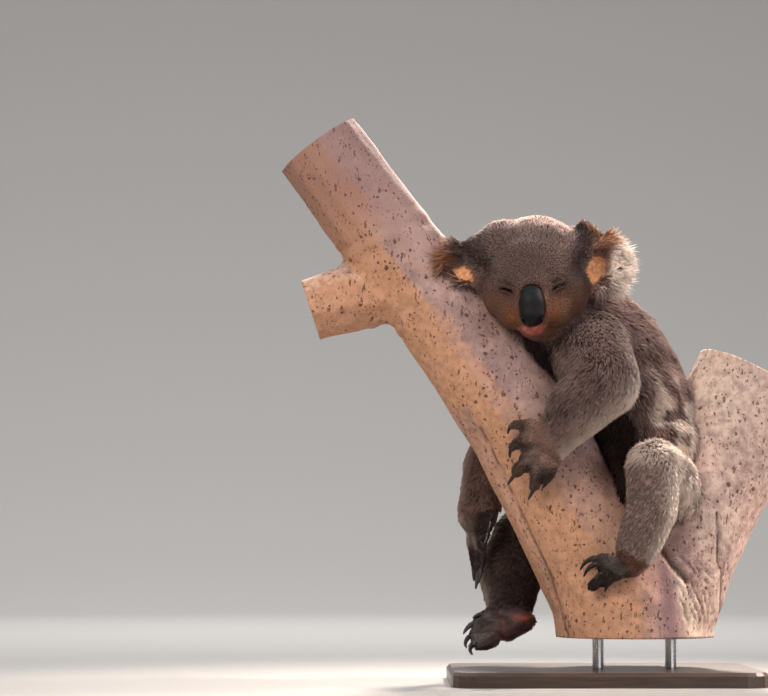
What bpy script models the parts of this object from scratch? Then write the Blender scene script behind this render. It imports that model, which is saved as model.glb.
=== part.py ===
"""A koala asleep on a forked gum limb, held by a plain display stand.

Metres, +Z up. The origin is the middle of the stand's underside. The limb lies in the XZ plane, the koala
hugs it from the right with its back to +X, and its face is turned to -Y.
"""

import math

import bmesh
import bpy
from mathutils import Matrix, Vector

# Driving sizes, in metres.
GAP = 0.0003  # clearance between solids that touch
BASE_SIZE = (0.38, 0.29, 0.018)
BASE_CORNER = 0.03
BASE_EDGE = 0.004
ROD_RADIUS = 0.007
ROD_DEPTH = 0.03  # how far a rod goes up into the trunk
ROD_PLACES = (-0.005, 0.085)  # along X
ROD_SIDES = 16
TRUNK_CUT = 0.056  # height of the saw cut over the rods
SAW_REACH = 0.28  # size of the block that a saw cut takes away

HEAD_CENTRE = Vector((-0.085, -0.075, 0.499))
HEAD_TURN = math.radians(-9)  # the nose is turned a little to -X
HEAD_PITCH = math.radians(9)  # the nose dips
HEAD_ROLL = math.radians(-3)  # the left ear is the higher
EYE_RADIUS = 0.0080
EYE_AT = (0.0305, -0.0345, -0.0150)  # the left eyeball's middle, in the head's own frame
LID_SLANT = math.radians(22)  # both slits drop towards the nose
SLIT_SIZE = (0.0084, 0.0120, 0.0016)  # half the slit's width, depth and height
NOSTRIL_AT = (0.0095, -0.0870, -0.0510)
NOSTRIL_SIZE = (0.0026, 0.0034, 0.0036)

KNUCKLE_SHARE = 0.94  # a digit's thickness there, as a share of that at its root
TIP_SHARE = 0.76
CLAW_RADIUS = 0.0040
CLAW_ROOT = 0.003  # how deep a claw is set in its digit
CLAW_REACH = 0.55  # how far a claw runs straight on before it bends
CLAW_TAPER = 0.82  # the share of its thickness that it loses to its point
CLAW_STEPS = 4
SHARP_EDGE = math.radians(50)

# How each soft form is made: size of its remesh, rounds of smoothing and number of triangles.
FORMS = {
    "perch_forked_limb": (0.006, 12, 540),
    "head": (0.004, 7, 650),
    "jaw": (0.003, 4, 130),
    "nose": (0.0018, 6, 180),
    "ear": (0.004, 5, 180),
    "torso": (0.006, 10, 410),
    "upper_arm": (0.0028, 3, 520),
    "thigh": (0.0028, 3, 490),
}
FUR = "fur_grey_brown"

# What each kind of piece is made of: colour, roughness and metallic value.
FINISHES = {
    "fur_grey_brown": ((0.18, 0.13, 0.11), 0.9, 0.0),
    "fur_pale": ((0.45, 0.38, 0.32), 0.9, 0.0),
    "nose_leather": ((0.03, 0.03, 0.035), 0.45, 0.0),
    "eye_dark": ((0.02, 0.012, 0.01), 0.1, 0.0),
    "claw_horn": ((0.03, 0.027, 0.025), 0.35, 0.0),
    "gum_bark": ((0.55, 0.40, 0.31), 0.8, 0.0),
    "stand_wood": ((0.05, 0.035, 0.025), 0.4, 0.0),
    "stand_steel": ((0.6, 0.6, 0.6), 0.3, 1.0),
}


def clear_scene():
    for obj in list(bpy.data.objects):
        bpy.data.objects.remove(obj)


def finish_of(name):
    """The material of that name, made the first time it is asked for."""
    material = bpy.data.materials.get(name)
    if material is None:
        colour, roughness, metallic = FINISHES[name]
        material = bpy.data.materials.new(name)
        material.use_nodes = True
        shader = material.node_tree.nodes["Principled BSDF"]
        shader.inputs["Base Color"].default_value = (*colour, 1)
        shader.inputs["Roughness"].default_value = roughness
        shader.inputs["Metallic"].default_value = metallic
    return material


def collection(name):
    found = bpy.data.collections.get(name)
    if found is None:
        found = bpy.data.collections.new(name)
        bpy.context.scene.collection.children.link(found)
    return found


def mesh_of(name, shapes):
    """A mesh of what a BMesh holds, which is then freed."""
    mesh = bpy.data.meshes.new(name)
    shapes.to_mesh(mesh)
    shapes.free()
    return mesh


def place(name, mesh, finish):
    """A new object of the koala model."""
    obj = bpy.data.objects.new(name, mesh)
    collection("koala_on_limb").objects.link(obj)
    mesh.materials.clear()
    mesh.materials.append(finish_of(finish))
    return obj


def guide(mesh):
    """A new object that only cuts others."""
    obj = bpy.data.objects.new("cutter", mesh)
    collection("cutters").objects.link(obj)
    obj.hide_render = True
    obj.display_type = "WIRE"
    return obj


def settle(obj):
    """Applies all modifiers of an object, and leaves it in triangles, so that no face is bent."""
    bpy.context.view_layer.update()
    graph = bpy.context.evaluated_depsgraph_get()
    mesh = bpy.data.meshes.new_from_object(obj.evaluated_get(graph))
    bm = bmesh.new()
    bm.from_mesh(mesh)
    bmesh.ops.triangulate(bm, faces=bm.faces)
    bm.to_mesh(mesh)
    bm.free()
    obj.modifiers.clear()
    obj.data = mesh


def keep_largest(obj):
    """Drops the crumbs that a cut can leave beside the main body."""
    bm = bmesh.new()
    bm.from_mesh(obj.data)
    left, islands = set(bm.verts), []
    while left:
        island, edge = set(), [left.pop()]
        while edge:
            vert = edge.pop()
            island.add(vert)
            near = {e.other_vert(vert) for e in vert.link_edges} & left
            left -= near
            edge.extend(near)
        islands.append(island)
    islands.sort(key=len)
    bmesh.ops.delete(bm, geom=[v for island in islands[:-1] for v in island], context="VERTS")
    bm.to_mesh(obj.data)
    bm.free()


# Simple solids, which soft_form() fuses.


def ball(bm, centre, radii, turn=None, segments=16):
    """An ellipsoid, whose radii are along X, Y and Z before it is turned."""
    radii = (radii,) * 3 if isinstance(radii, float) else radii
    shape = Matrix.Translation(centre) @ (turn or Matrix()) @ Matrix.Diagonal((*radii, 1))
    bmesh.ops.create_uvsphere(bm, u_segments=segments, v_segments=segments * 5 // 8, radius=1, matrix=shape)


def length_of_limb(bm, start, end, start_radius, end_radius):
    """A tapered length with round ends."""
    start, end = Vector(start), Vector(end)
    along = end - start
    middle = Matrix.Translation((start + end) / 2) @ along.to_track_quat("Z", "Y").to_matrix().to_4x4()
    bmesh.ops.create_cone(bm, cap_ends=True, segments=20, radius1=start_radius, radius2=end_radius,
                          depth=along.length, matrix=middle)
    ball(bm, start, start_radius)
    ball(bm, end, end_radius)


def chain(bm, stations):
    """Tapered lengths from one (point, radius) to the next."""
    for (start, start_radius), (end, end_radius) in zip(stations, stations[1:]):
        length_of_limb(bm, start, end, start_radius, end_radius)


def soft_form(name, kind, shapes, finish):
    """One soft form: solids fused by a voxel remesh, smoothed, then thinned to a number of triangles."""
    voxel, smoothing, triangles = FORMS[kind]
    obj = place(name, mesh_of(name, shapes), finish)
    fuse = obj.modifiers.new("fuse", "REMESH")
    fuse.mode = "VOXEL"
    fuse.voxel_size = voxel
    soften = obj.modifiers.new("soften", "SMOOTH")
    soften.factor = 0.5
    soften.iterations = smoothing
    settle(obj)
    thin = obj.modifiers.new("thin", "DECIMATE")
    thin.ratio = triangles / len(obj.data.polygons)
    settle(obj)
    return obj


def grown(obj, distance=GAP):
    """A cutter that is a copy of an object, larger all round."""
    cutter = guide(obj.data.copy())
    swell = cutter.modifiers.new("swell", "DISPLACE")
    swell.strength = distance
    swell.mid_level = 0
    settle(cutter)
    return cutter


def cut(obj, cutter):
    """Takes the cutter's space out of an object."""
    carve = obj.modifiers.new("carve", "BOOLEAN")
    carve.operation = "DIFFERENCE"
    carve.object = cutter
    settle(obj)
    keep_largest(obj)
    bpy.data.objects.remove(cutter)


def clear_of(obj, *neighbours):
    """Takes each neighbour, and the gap round it, out of an object."""
    for neighbour in neighbours:
        cut(obj, grown(neighbour))


def saw(obj, point, normal):
    """Cuts off the end of a limb that lies beyond a plane."""
    normal = Vector(normal).normalized()
    middle = Matrix.Translation(Vector(point) + normal * SAW_REACH / 2)
    turn = normal.to_track_quat("Z", "Y").to_matrix().to_4x4()
    block = bmesh.new()
    bmesh.ops.create_cube(block, size=SAW_REACH, matrix=middle @ turn)
    cut(obj, guide(mesh_of("block", block)))


def trimmed(mesh, point, normal):
    """A copy of a mesh without what lies beyond a plane, with the cut closed."""
    bm = bmesh.new()
    bm.from_mesh(mesh)
    geometry = [*bm.verts, *bm.edges, *bm.faces]
    found = bmesh.ops.bisect_plane(bm, geom=geometry, plane_co=point, plane_no=normal, clear_outer=True)
    edges = [item for item in found["geom_cut"] if isinstance(item, bmesh.types.BMEdge)]
    bmesh.ops.holes_fill(bm, edges=edges, sides=0)
    bmesh.ops.recalc_face_normals(bm, faces=bm.faces)
    return mesh_of(mesh.name, bm)


def part_off(obj, name, point, towards):
    """Parts an object by a thin cut. What lies on the side that the cut faces becomes a new object."""
    point, normal = Vector(point), Vector(towards).normalized()
    far = place(name, trimmed(obj.data, point + normal * GAP / 2, -normal), FUR)
    obj.data = trimmed(obj.data, point - normal * GAP / 2, normal)
    keep_largest(obj)
    keep_largest(far)
    return far


# The perch and its stand.


def perch():
    """The forked limb, one piece of wood, sawn off at its four ends."""
    leaning_limb = [
        ((-0.405, 0.012, 0.742), 0.056),
        ((-0.301, 0.006, 0.602), 0.058),
        ((-0.245, 0.0, 0.523), 0.060),
        ((-0.177, 0.0, 0.438), 0.066),
        ((-0.089, 0.0, 0.312), 0.072),
        ((-0.047, 0.0, 0.225), 0.074),
        ((-0.012, 0.0, 0.169), 0.079),
        ((0.033, 0.0, 0.101), 0.096),
        ((0.050, 0.0, 0.0), 0.096),
    ]
    right_limb = [
        ((0.050, 0.0, 0.085), 0.090),
        ((0.090, 0.014, 0.166), 0.083),
        ((0.129, 0.024, 0.245), 0.083),
        ((0.187, 0.036, 0.346), 0.082),
        ((0.235, 0.047, 0.430), 0.082),
    ]
    side_branch = [
        ((-0.225, 0.0, 0.500), 0.040),
        ((-0.285, 0.0, 0.484), 0.043),
        ((-0.345, -0.004, 0.468), 0.041),
        ((-0.430, -0.010, 0.440), 0.041),
    ]
    shapes = bmesh.new()
    for stations in (leaning_limb, right_limb, side_branch):
        chain(shapes, stations)
    wood = soft_form("perch_forked_limb", "perch_forked_limb", shapes, "gum_bark")
    saw(wood, (-0.352, 0.0, 0.672), (-0.59, 0.0, 0.80))
    saw(wood, (0.205, 0.0, 0.377), (0.50, 0.10, 0.86))
    saw(wood, (-0.362, 0.0, 0.463), (-0.93, 0.0, -0.30))
    saw(wood, (0.0, 0.0, TRUNK_CUT), (0.0, 0.0, -1.0))
    for x in ROD_PLACES:
        cut(wood, guide(upright("bore", x, ROD_RADIUS + GAP, 0.0, TRUNK_CUT + ROD_DEPTH + GAP)))
    return wood


def upright(name, x, radius, bottom, top):
    """The mesh of an upright round rod at a place along X."""
    rod = bmesh.new()
    middle = Matrix.Translation((x, 0.0, (bottom + top) / 2))
    bmesh.ops.create_cone(rod, cap_ends=True, segments=ROD_SIDES, radius1=radius, radius2=radius,
                          depth=top - bottom, matrix=middle)
    return mesh_of(name, rod)


def stand():
    """A flat base with two short rods, which stand on it and go up into the trunk."""
    height = BASE_SIZE[2]
    bm = bmesh.new()
    middle = Matrix.Translation((0, 0, height / 2))
    bmesh.ops.create_cube(bm, size=1, matrix=middle @ Matrix.Diagonal((*BASE_SIZE, 1)))
    corners = [e for e in bm.edges if abs(e.verts[0].co.z - e.verts[1].co.z) > height / 2]
    bmesh.ops.bevel(bm, geom=corners, offset=BASE_CORNER, segments=4, affect="EDGES", profile=0.5)
    rim = [e for e in bm.edges if min(v.co.z for v in e.verts) > height / 2]
    bmesh.ops.bevel(bm, geom=rim, offset=BASE_EDGE, segments=1, affect="EDGES", profile=0.5)
    place("stand_base", mesh_of("stand_base", bm), "stand_wood")
    for number, x in enumerate(ROD_PLACES, 1):
        rod = upright("stand_rod", x, ROD_RADIUS, height + GAP, TRUNK_CUT + ROD_DEPTH)
        place(f"stand_rod_{number}", rod, "stand_steel")


# The koala. Its head is built about its own centre, face to -Y, and then set in place.


def head_frame():
    return (Matrix.Translation(HEAD_CENTRE) @ Matrix.Rotation(HEAD_TURN, 4, "Z")
            @ Matrix.Rotation(HEAD_ROLL, 4, "Y") @ Matrix.Rotation(HEAD_PITCH, 4, "X"))


def set_on_head(*objects):
    for obj in objects:
        obj.data.transform(head_frame())


def on_side(side, point):
    """A point of the left side, or its mirror on the right where the side is -1."""
    return (side * point[0], point[1], point[2])


def head():
    """The skull's form with its cheeks and muzzle, still in its own frame."""
    shapes = bmesh.new()
    ball(shapes, (0, 0.020, 0.010), (0.062, 0.064, 0.062))  # cranium
    ball(shapes, (0, 0.048, -0.012), (0.056, 0.050, 0.056))  # nape
    ball(shapes, (0, -0.018, 0.006), (0.053, 0.038, 0.044))  # brow
    ball(shapes, (0, -0.042, -0.014), (0.026, 0.028, 0.030))  # bridge
    ball(shapes, (0, -0.048, -0.038), (0.029, 0.034, 0.027))  # muzzle
    ball(shapes, (-0.037, 0.010, 0.036), (0.035, 0.036, 0.034))  # temples
    ball(shapes, (0.036, 0.010, 0.024), (0.032, 0.034, 0.031))
    for side in (-1, 1):
        ball(shapes, (side * 0.036, -0.006, -0.020), (0.031, 0.040, 0.036))  # cheek
        ball(shapes, (side * 0.023, -0.030, -0.042), (0.025, 0.032, 0.023))  # jowl
    return soft_form("head", "head", shapes, FUR)


def jaw():
    shapes = bmesh.new()
    chain(shapes, [((-0.005, -0.055, -0.058), 0.0150), ((0, -0.018, -0.054), 0.027)])
    return soft_form("jaw", "jaw", shapes, "fur_pale")


def nose():
    """The bare leather shield from between the eyes to the lip, with its two nostrils."""
    shapes = bmesh.new()
    ball(shapes, (0, -0.0660, -0.0230), (0.0138, 0.011, 0.0140))
    ball(shapes, (0, -0.0740, -0.0335), (0.0158, 0.012, 0.0190))
    ball(shapes, (0, -0.0775, -0.0450), (0.0154, 0.011, 0.0138))
    leather = soft_form("nose", "nose", shapes, "nose_leather")
    for side in (-1, 1):
        nostril = bmesh.new()
        ball(nostril, on_side(side, NOSTRIL_AT), NOSTRIL_SIZE, segments=8)
        cut(leather, guide(mesh_of("nostril", nostril)))
    return leather


def ear(name, side, centre, radii, hollow, hollow_radii, turn):
    """A round thick ear, hollow in front, out to the tips of its fringe."""
    facing = Matrix.Rotation(turn, 4, "Z")
    shapes = bmesh.new()
    ball(shapes, on_side(side, centre), radii, facing)
    ball(shapes, on_side(side, (0.060, 0.012, 0.020)), (0.030, 0.020, 0.038))  # root
    outer = soft_form(name, "ear", shapes, FUR)
    cup = bmesh.new()
    ball(cup, on_side(side, hollow), hollow_radii, facing, segments=12)
    cut(outer, guide(mesh_of("cup", cup)))
    return outer


def eye(name, side):
    """An eyeball behind nearly closed lids."""
    bm = bmesh.new()
    middle = Matrix.Translation(on_side(side, EYE_AT))
    bmesh.ops.create_icosphere(bm, subdivisions=2, radius=EYE_RADIUS, matrix=middle)
    return place(name, mesh_of(name, bm), "eye_dark")


def lid_slit(side):
    """The wedge of air between the lids."""
    slit = bmesh.new()
    middle = (side * EYE_AT[0], EYE_AT[1] - EYE_RADIUS * 2, EYE_AT[2])
    ball(slit, middle, SLIT_SIZE, Matrix.Rotation(-side * LID_SLANT, 4, "Y"), segments=8)
    return guide(mesh_of("slit", slit))


def body():
    """Neck, chest, belly and rump as one form."""
    shapes = bmesh.new()
    chain(shapes, [
        ((-0.062, -0.035, 0.470), 0.050),
        ((-0.029, -0.004, 0.456), 0.060),
        ((-0.006, 0.0, 0.430), 0.064),
        ((0.013, 0.0, 0.409), 0.068),
        ((0.034, 0.0, 0.375), 0.068),
        ((0.048, 0.0, 0.347), 0.067),
        ((0.062, 0.0, 0.305), 0.065),
    ])
    lean = Matrix.Rotation(math.radians(-28), 4, "Y")
    ball(shapes, (0.020, 0.0, 0.398), (0.064, 0.080, 0.062), lean)
    ball(shapes, (0.044, 0.0, 0.345), (0.066, 0.088, 0.078), lean)
    ball(shapes, (0.061, 0.0, 0.290), (0.067, 0.092, 0.070))
    ball(shapes, (0.063, 0.0, 0.244), (0.064, 0.088, 0.070))
    ball(shapes, (-0.058, -0.046, 0.424), (0.040, 0.036, 0.042), lean)  # throat, under the chin
    return soft_form("torso", "torso", shapes, FUR)


def digit_claw(name, knuckle, tip, point):
    """A curved horn claw from inside the digit's tip to its point."""
    knuckle, tip, point = Vector(knuckle), Vector(tip), Vector(point)
    along = (tip - knuckle).normalized()
    root = tip - along * CLAW_ROOT
    bend = tip + along * (point - tip).length * CLAW_REACH
    curve = bpy.data.curves.new(name, "CURVE")
    curve.dimensions = "3D"
    curve.bevel_depth = CLAW_RADIUS
    curve.bevel_resolution = 0
    curve.use_fill_caps = True
    spline = curve.splines.new("POLY")
    spline.points.add(CLAW_STEPS)
    for number, station in enumerate(spline.points):
        t = number / CLAW_STEPS
        on_arc = root * (1 - t) ** 2 + bend * 2 * t * (1 - t) + point * t * t
        station.co = (*on_arc, 1)
        station.radius = 1.0 - CLAW_TAPER * t ** 1.5
    swept = bpy.data.objects.new("claw", curve)
    bpy.context.scene.collection.objects.link(swept)
    bpy.context.view_layer.update()
    mesh = bpy.data.meshes.new_from_object(swept.evaluated_get(bpy.context.evaluated_depsgraph_get()))
    bpy.data.objects.remove(swept)
    bm = bmesh.new()
    bm.from_mesh(mesh)
    bmesh.ops.remove_doubles(bm, verts=bm.verts, dist=1e-5)
    bm.to_mesh(mesh)
    bm.free()
    mesh.name = name
    return place(name, mesh, "claw_horn")


def add_digits(shapes, digits):
    for root, knuckle, tip, thickness, _ in digits.values():
        chain(shapes, [(root, thickness), (knuckle, thickness * KNUCKLE_SHARE), (tip, thickness * TIP_SHARE)])


def fit_claws(paw, prefix, digits):
    """Makes each digit's claw, and the socket for it in the paw."""
    claws = []
    for digit, (_, knuckle, tip, _, point) in digits.items():
        if point is None:
            continue
        claw = digit_claw(f"{prefix}_{digit}", knuckle, tip, point)
        cut(paw, grown(claw))
        claws.append(claw)
    return claws


# Each digit: root, knuckle and tip, its thickness, and the point of its claw.
LEFT_HAND = {
    "thumb": ((-0.073, -0.088, 0.305), (-0.092, -0.097, 0.315), (-0.112, -0.087, 0.3145), 0.0088,
              (-0.1195, -0.079, 0.304)),
    "second": ((-0.078, -0.090, 0.298), (-0.098, -0.099, 0.299), (-0.113, -0.088, 0.289), 0.0094,
               (-0.117, -0.080, 0.275)),
    "third": ((-0.082, -0.090, 0.284), (-0.099, -0.098, 0.271), (-0.109, -0.088, 0.258), 0.0112,
              (-0.120, -0.080, 0.242)),
    "fourth": ((-0.074, -0.090, 0.275), (-0.082, -0.098, 0.257), (-0.087, -0.088, 0.242), 0.0112,
               (-0.095, -0.080, 0.224)),
    "fifth": ((-0.062, -0.088, 0.278), (-0.066, -0.094, 0.263), (-0.071, -0.085, 0.249), 0.0084,
              (-0.078, -0.079, 0.238)),
}
RIGHT_HAND = {
    "thumb": ((-0.141, 0.060, 0.226), (-0.134, 0.046, 0.212), (-0.135, 0.040, 0.199), 0.0072,
              (-0.140, 0.036, 0.186)),
    "second": ((-0.142, 0.066, 0.214), (-0.137, 0.052, 0.197), (-0.139, 0.045, 0.183), 0.0076,
               (-0.144, 0.040, 0.170)),
    "third": ((-0.145, 0.062, 0.184), (-0.146, 0.056, 0.162), (-0.1475, 0.052, 0.143), 0.0084,
              (-0.153, 0.048, 0.119)),
    "fourth": ((-0.149, 0.072, 0.182), (-0.151, 0.068, 0.159), (-0.1515, 0.064, 0.139), 0.0084,
               (-0.154, 0.058, 0.114)),
    "fifth": ((-0.153, 0.082, 0.186), (-0.156, 0.080, 0.165), (-0.156, 0.076, 0.147), 0.0076,
              (-0.156, 0.070, 0.124)),
}
LEFT_FOOT = {
    "great": ((0.006, -0.092, 0.137), (-0.006, -0.099, 0.128), (-0.018, -0.094, 0.1205), 0.0108, None),
    "second": ((0.004, -0.090, 0.150), (-0.006, -0.098, 0.156), (-0.016, -0.094, 0.154), 0.0056,
               (-0.033, -0.083, 0.139)),
    "third": ((0.004, -0.096, 0.146), (-0.006, -0.103, 0.150), (-0.015, -0.100, 0.147), 0.0056,
              (-0.029, -0.089, 0.131)),
    "fourth": ((0.010, -0.102, 0.142), (0.002, -0.108, 0.141), (-0.007, -0.105, 0.136), 0.0074,
               (-0.020, -0.091, 0.118)),
    "fifth": ((0.018, -0.104, 0.138), (0.012, -0.109, 0.134), (0.005, -0.106, 0.128), 0.0070,
              (-0.004, -0.093, 0.113)),
}
RIGHT_FOOT = {
    "great": ((-0.132, 0.030, 0.052), (-0.143, 0.022, 0.046), (-0.152, 0.016, 0.044), 0.0094, None),
    "second": ((-0.140, 0.054, 0.073), (-0.152, 0.058, 0.075), (-0.161, 0.054, 0.069), 0.0060,
               (-0.170, 0.046, 0.058)),
    "third": ((-0.142, 0.050, 0.062), (-0.155, 0.052, 0.061), (-0.164, 0.046, 0.054), 0.0060,
              (-0.167, 0.034, 0.041)),
    "fourth": ((-0.138, 0.042, 0.056), (-0.152, 0.038, 0.052), (-0.160, 0.032, 0.045), 0.0076,
               (-0.160, 0.020, 0.033)),
    "fifth": ((-0.130, 0.054, 0.080), (-0.139, 0.060, 0.085), (-0.147, 0.058, 0.083), 0.0068,
              (-0.158, 0.052, 0.078)),
}


# The thin cuts that part the body: the form, the new part, a point on the cut and the way to the new part.
PARTINGS = (
    ("torso", "neck", (-0.002, 0.0, 0.436), (-0.62, -0.10, 0.78)),
    ("torso", "rump", (0.055, 0.0, 0.262), (0.12, 0.0, -1.0)),
    ("upper_arm_left", "forearm_left", (-0.006, -0.112, 0.362), (-0.75, -0.20, -0.62)),
    ("forearm_left", "hand_left", (-0.064, -0.096, 0.297), (-0.88, 0.0, -0.47)),
    ("upper_arm_right", "forearm_right", (-0.094, 0.112, 0.351), (-0.68, 0.15, -0.72)),
    ("forearm_right", "hand_right", (-0.149, 0.080, 0.218), (-0.08, 0.0, -1.0)),
    ("thigh_left", "shank_left", (0.060, -0.108, 0.252), (-0.35, -0.55, -0.76)),
    ("shank_left", "foot_left", (0.031, -0.096, 0.160), (-0.45, 0.0, -0.89)),
    ("thigh_right", "shank_right", (-0.078, 0.122, 0.180), (-0.55, -0.35, -0.76)),
    ("shank_right", "foot_right", (-0.104, 0.064, 0.090), (0.0, -0.20, -1.0)),
)


def front_limb(side, shoulder, elbow, wrist, palm, digits):
    """One arm with its hand, as one form."""
    shapes = bmesh.new()
    chain(shapes, [shoulder, *elbow, wrist])
    for centre, radii, turn in palm:
        ball(shapes, centre, radii, Matrix.Rotation(math.radians(turn), 4, "Y"))
    add_digits(shapes, digits)
    return soft_form(f"upper_arm_{side}", "upper_arm", shapes, FUR)


def hind_limb(side, hip, knee, ankle, sole, digits):
    """One leg with its foot, as one form."""
    shapes = bmesh.new()
    chain(shapes, [hip, knee, *ankle])
    for centre, radii, turn in sole:
        ball(shapes, centre, radii, Matrix.Rotation(math.radians(turn), 4, "Y"))
    add_digits(shapes, digits)
    return soft_form(f"thigh_{side}", "thigh", shapes, FUR)


def koala(wood):
    torso = body()
    skull, chin, leather = head(), jaw(), nose()
    ear_right = ear("ear_right", -1, (0.094, 0.006, 0.019), (0.043, 0.017, 0.044),
                    (0.097, -0.014, 0.010), (0.022, 0.018, 0.026), math.radians(-22))
    ear_left = ear("ear_left", 1, (0.085, 0.008, 0.010), (0.039, 0.017, 0.047),
                   (0.083, -0.012, 0.006), (0.018, 0.018, 0.025), math.radians(30))
    eyes = [eye("eye_right", -1), eye("eye_left", 1)]
    for side, ball_of_eye in zip((-1, 1), eyes):
        cut(skull, lid_slit(side))
        clear_of(skull, ball_of_eye)
    clear_of(skull, leather)
    clear_of(chin, skull, leather)
    set_on_head(skull, chin, leather, ear_right, ear_left, *eyes)
    for obj in (skull, chin, ear_right, ear_left):
        clear_of(obj, wood)
    for obj in (ear_right, ear_left):
        clear_of(obj, skull)

    arm_left = front_limb(
        "left",
        ((-0.019, -0.052, 0.410), 0.052),
        [((-0.006, -0.108, 0.366), 0.045), ((-0.036, -0.106, 0.334), 0.038)],
        ((-0.062, -0.096, 0.300), 0.026),
        [((-0.074, -0.090, 0.288), (0.026, 0.016, 0.027), -35)],
        LEFT_HAND,
    )
    arm_right = front_limb(
        "right",
        ((-0.006, 0.052, 0.414), 0.052),
        [((-0.094, 0.112, 0.351), 0.039), ((-0.137, 0.094, 0.272), 0.031)],
        ((-0.150, 0.080, 0.208), 0.0265),
        [
            ((-0.149, 0.074, 0.196), (0.014, 0.020, 0.026), 0),
            ((-0.155, 0.082, 0.182), (0.011, 0.013, 0.026), 0),
        ],
        RIGHT_HAND,
    )
    leg_left = hind_limb(
        "left",
        ((0.072, -0.042, 0.235), 0.054),
        ((0.072, -0.086, 0.246), 0.038),
        [((0.054, -0.116, 0.262), 0.034), ((0.052, -0.117, 0.215), 0.031),
         ((0.037, -0.106, 0.172), 0.0275), ((0.029, -0.093, 0.150), 0.020)],
        [((0.010, -0.094, 0.143), (0.025, 0.014, 0.014), 10)],
        LEFT_FOOT,
    )
    leg_right = hind_limb(
        "right",
        ((0.060, 0.055, 0.226), 0.058),
        ((-0.086, 0.124, 0.174), 0.045),
        [((-0.107, 0.099, 0.134), 0.0425), ((-0.110, 0.070, 0.099), 0.031)],
        [
            ((-0.099, 0.052, 0.074), (0.022, 0.014, 0.017), 0),
            ((-0.122, 0.047, 0.066), (0.028, 0.013, 0.017), 12),
        ],
        RIGHT_FOOT,
    )
    clear_of(torso, wood, skull, chin)
    claws = []
    for limb, prefix, digits in (
        (arm_left, "claw_hand_left", LEFT_HAND),
        (arm_right, "claw_hand_right", RIGHT_HAND),
        (leg_left, "claw_foot_left", LEFT_FOOT),
        (leg_right, "claw_foot_right", RIGHT_FOOT),
    ):
        clear_of(limb, wood, torso, skull, chin)
        claws += fit_claws(limb, prefix, digits)
    for claw in claws:
        clear_of(claw, wood)

    parts = {"torso": torso}
    for limb in (arm_left, arm_right, leg_left, leg_right):
        parts[limb.name] = limb
    for source, name, point, towards in PARTINGS:
        parts[name] = part_off(parts[source], name, point, towards)


def main():
    clear_scene()
    wood = perch()
    stand()
    koala(wood)
    for obj in collection("koala_on_limb").objects:
        obj.data.shade_smooth()
        obj.data.set_sharp_from_angle(angle=SHARP_EDGE)


main()
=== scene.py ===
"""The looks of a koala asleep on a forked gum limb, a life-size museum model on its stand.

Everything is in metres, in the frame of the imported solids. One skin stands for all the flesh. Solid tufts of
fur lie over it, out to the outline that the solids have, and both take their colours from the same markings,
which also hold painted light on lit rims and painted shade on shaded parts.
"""

import math

import bmesh
import bpy
import numpy as np
from mathutils import Matrix, Vector, noise
from mathutils.bvhtree import BVHTree
from mathutils.kdtree import KDTree


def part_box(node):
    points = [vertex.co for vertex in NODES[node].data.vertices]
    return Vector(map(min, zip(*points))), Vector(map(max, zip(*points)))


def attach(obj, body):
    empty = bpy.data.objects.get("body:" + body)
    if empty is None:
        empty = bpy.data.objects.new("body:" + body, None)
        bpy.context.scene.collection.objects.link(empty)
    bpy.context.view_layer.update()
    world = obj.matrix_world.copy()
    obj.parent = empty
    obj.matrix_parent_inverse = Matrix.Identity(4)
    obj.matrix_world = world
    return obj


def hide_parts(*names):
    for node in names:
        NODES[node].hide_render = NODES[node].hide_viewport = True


bl_info = {
    "name": "Koala on a gum limb",
    "version": (1, 0, 0),
    "blender": (4, 5, 0),
    "location": "3D View > Sidebar > Koala",
    "description": "Builds the skin, coat, leather, claws, bark and stand finishes of a koala model",
    "category": "Object",
}

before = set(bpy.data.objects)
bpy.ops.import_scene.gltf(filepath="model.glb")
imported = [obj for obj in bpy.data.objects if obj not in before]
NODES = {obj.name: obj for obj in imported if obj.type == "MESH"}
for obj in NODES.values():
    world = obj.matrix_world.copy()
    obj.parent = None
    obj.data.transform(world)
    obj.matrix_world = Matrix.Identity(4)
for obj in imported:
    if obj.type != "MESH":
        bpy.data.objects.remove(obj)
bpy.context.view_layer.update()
SEED = 11

# The head's own frame has its face to -Y. These are the solids' turns.
HEAD_TURN = math.radians(-9)
HEAD_PITCH = math.radians(9)
HEAD_ROLL = math.radians(-3)
HEAD_BACK = (0.0, 1.0, 0.0)
EYE_AT = Vector((0.0305, -0.0345, -0.0150))  # the left eyeball's middle in that frame
EYE_OPENING = {-1: 0.0012, 1: 0.0005}  # half the slit's height, on the right and on the left
LID_SLANT = math.radians(22)  # both slits drop towards the nose
NOSE_TIP = np.array((0.0, -0.085, -0.036))
NOSE_STEP = 0.0009  # the size of the nose's faces
NOSE_SWELL = 0.0010  # what the nose loses as its facets are smoothed away
CLAW_SWELL = 0.0008  # what a claw loses as it is rounded
EAR_ROOT = np.array((0.052, 0.014, 0.012))  # the left ear's, which the right mirrors
EAR_DRAW = 0.016  # how far the ears' rims are drawn in for their fringes

# The skin's making.
SKIN_SWELL = 0.0004  # what each solid grows by, so that neighbours fuse
CREASE_DEPTH = 0.0016  # the furrows between the digits
EYE_REACHES = (0.0125, 0.0110)  # how far round each eye the skin's faces are split once, and then again
EYE_FRONT = -0.045  # the middle of that reach, in front of the eyeball
SKIN_ALONG = 0.15  # the skin has the colour of hair near its root
# Painted shade: the skin is darkened as if in the coat's shadow.
SKIN_PAINTED_SHADE = (0.85, 0.82, 0.80, 1)
RIPPLE_GAP = 0.0068  # between the shanks' ripples of hair

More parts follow.
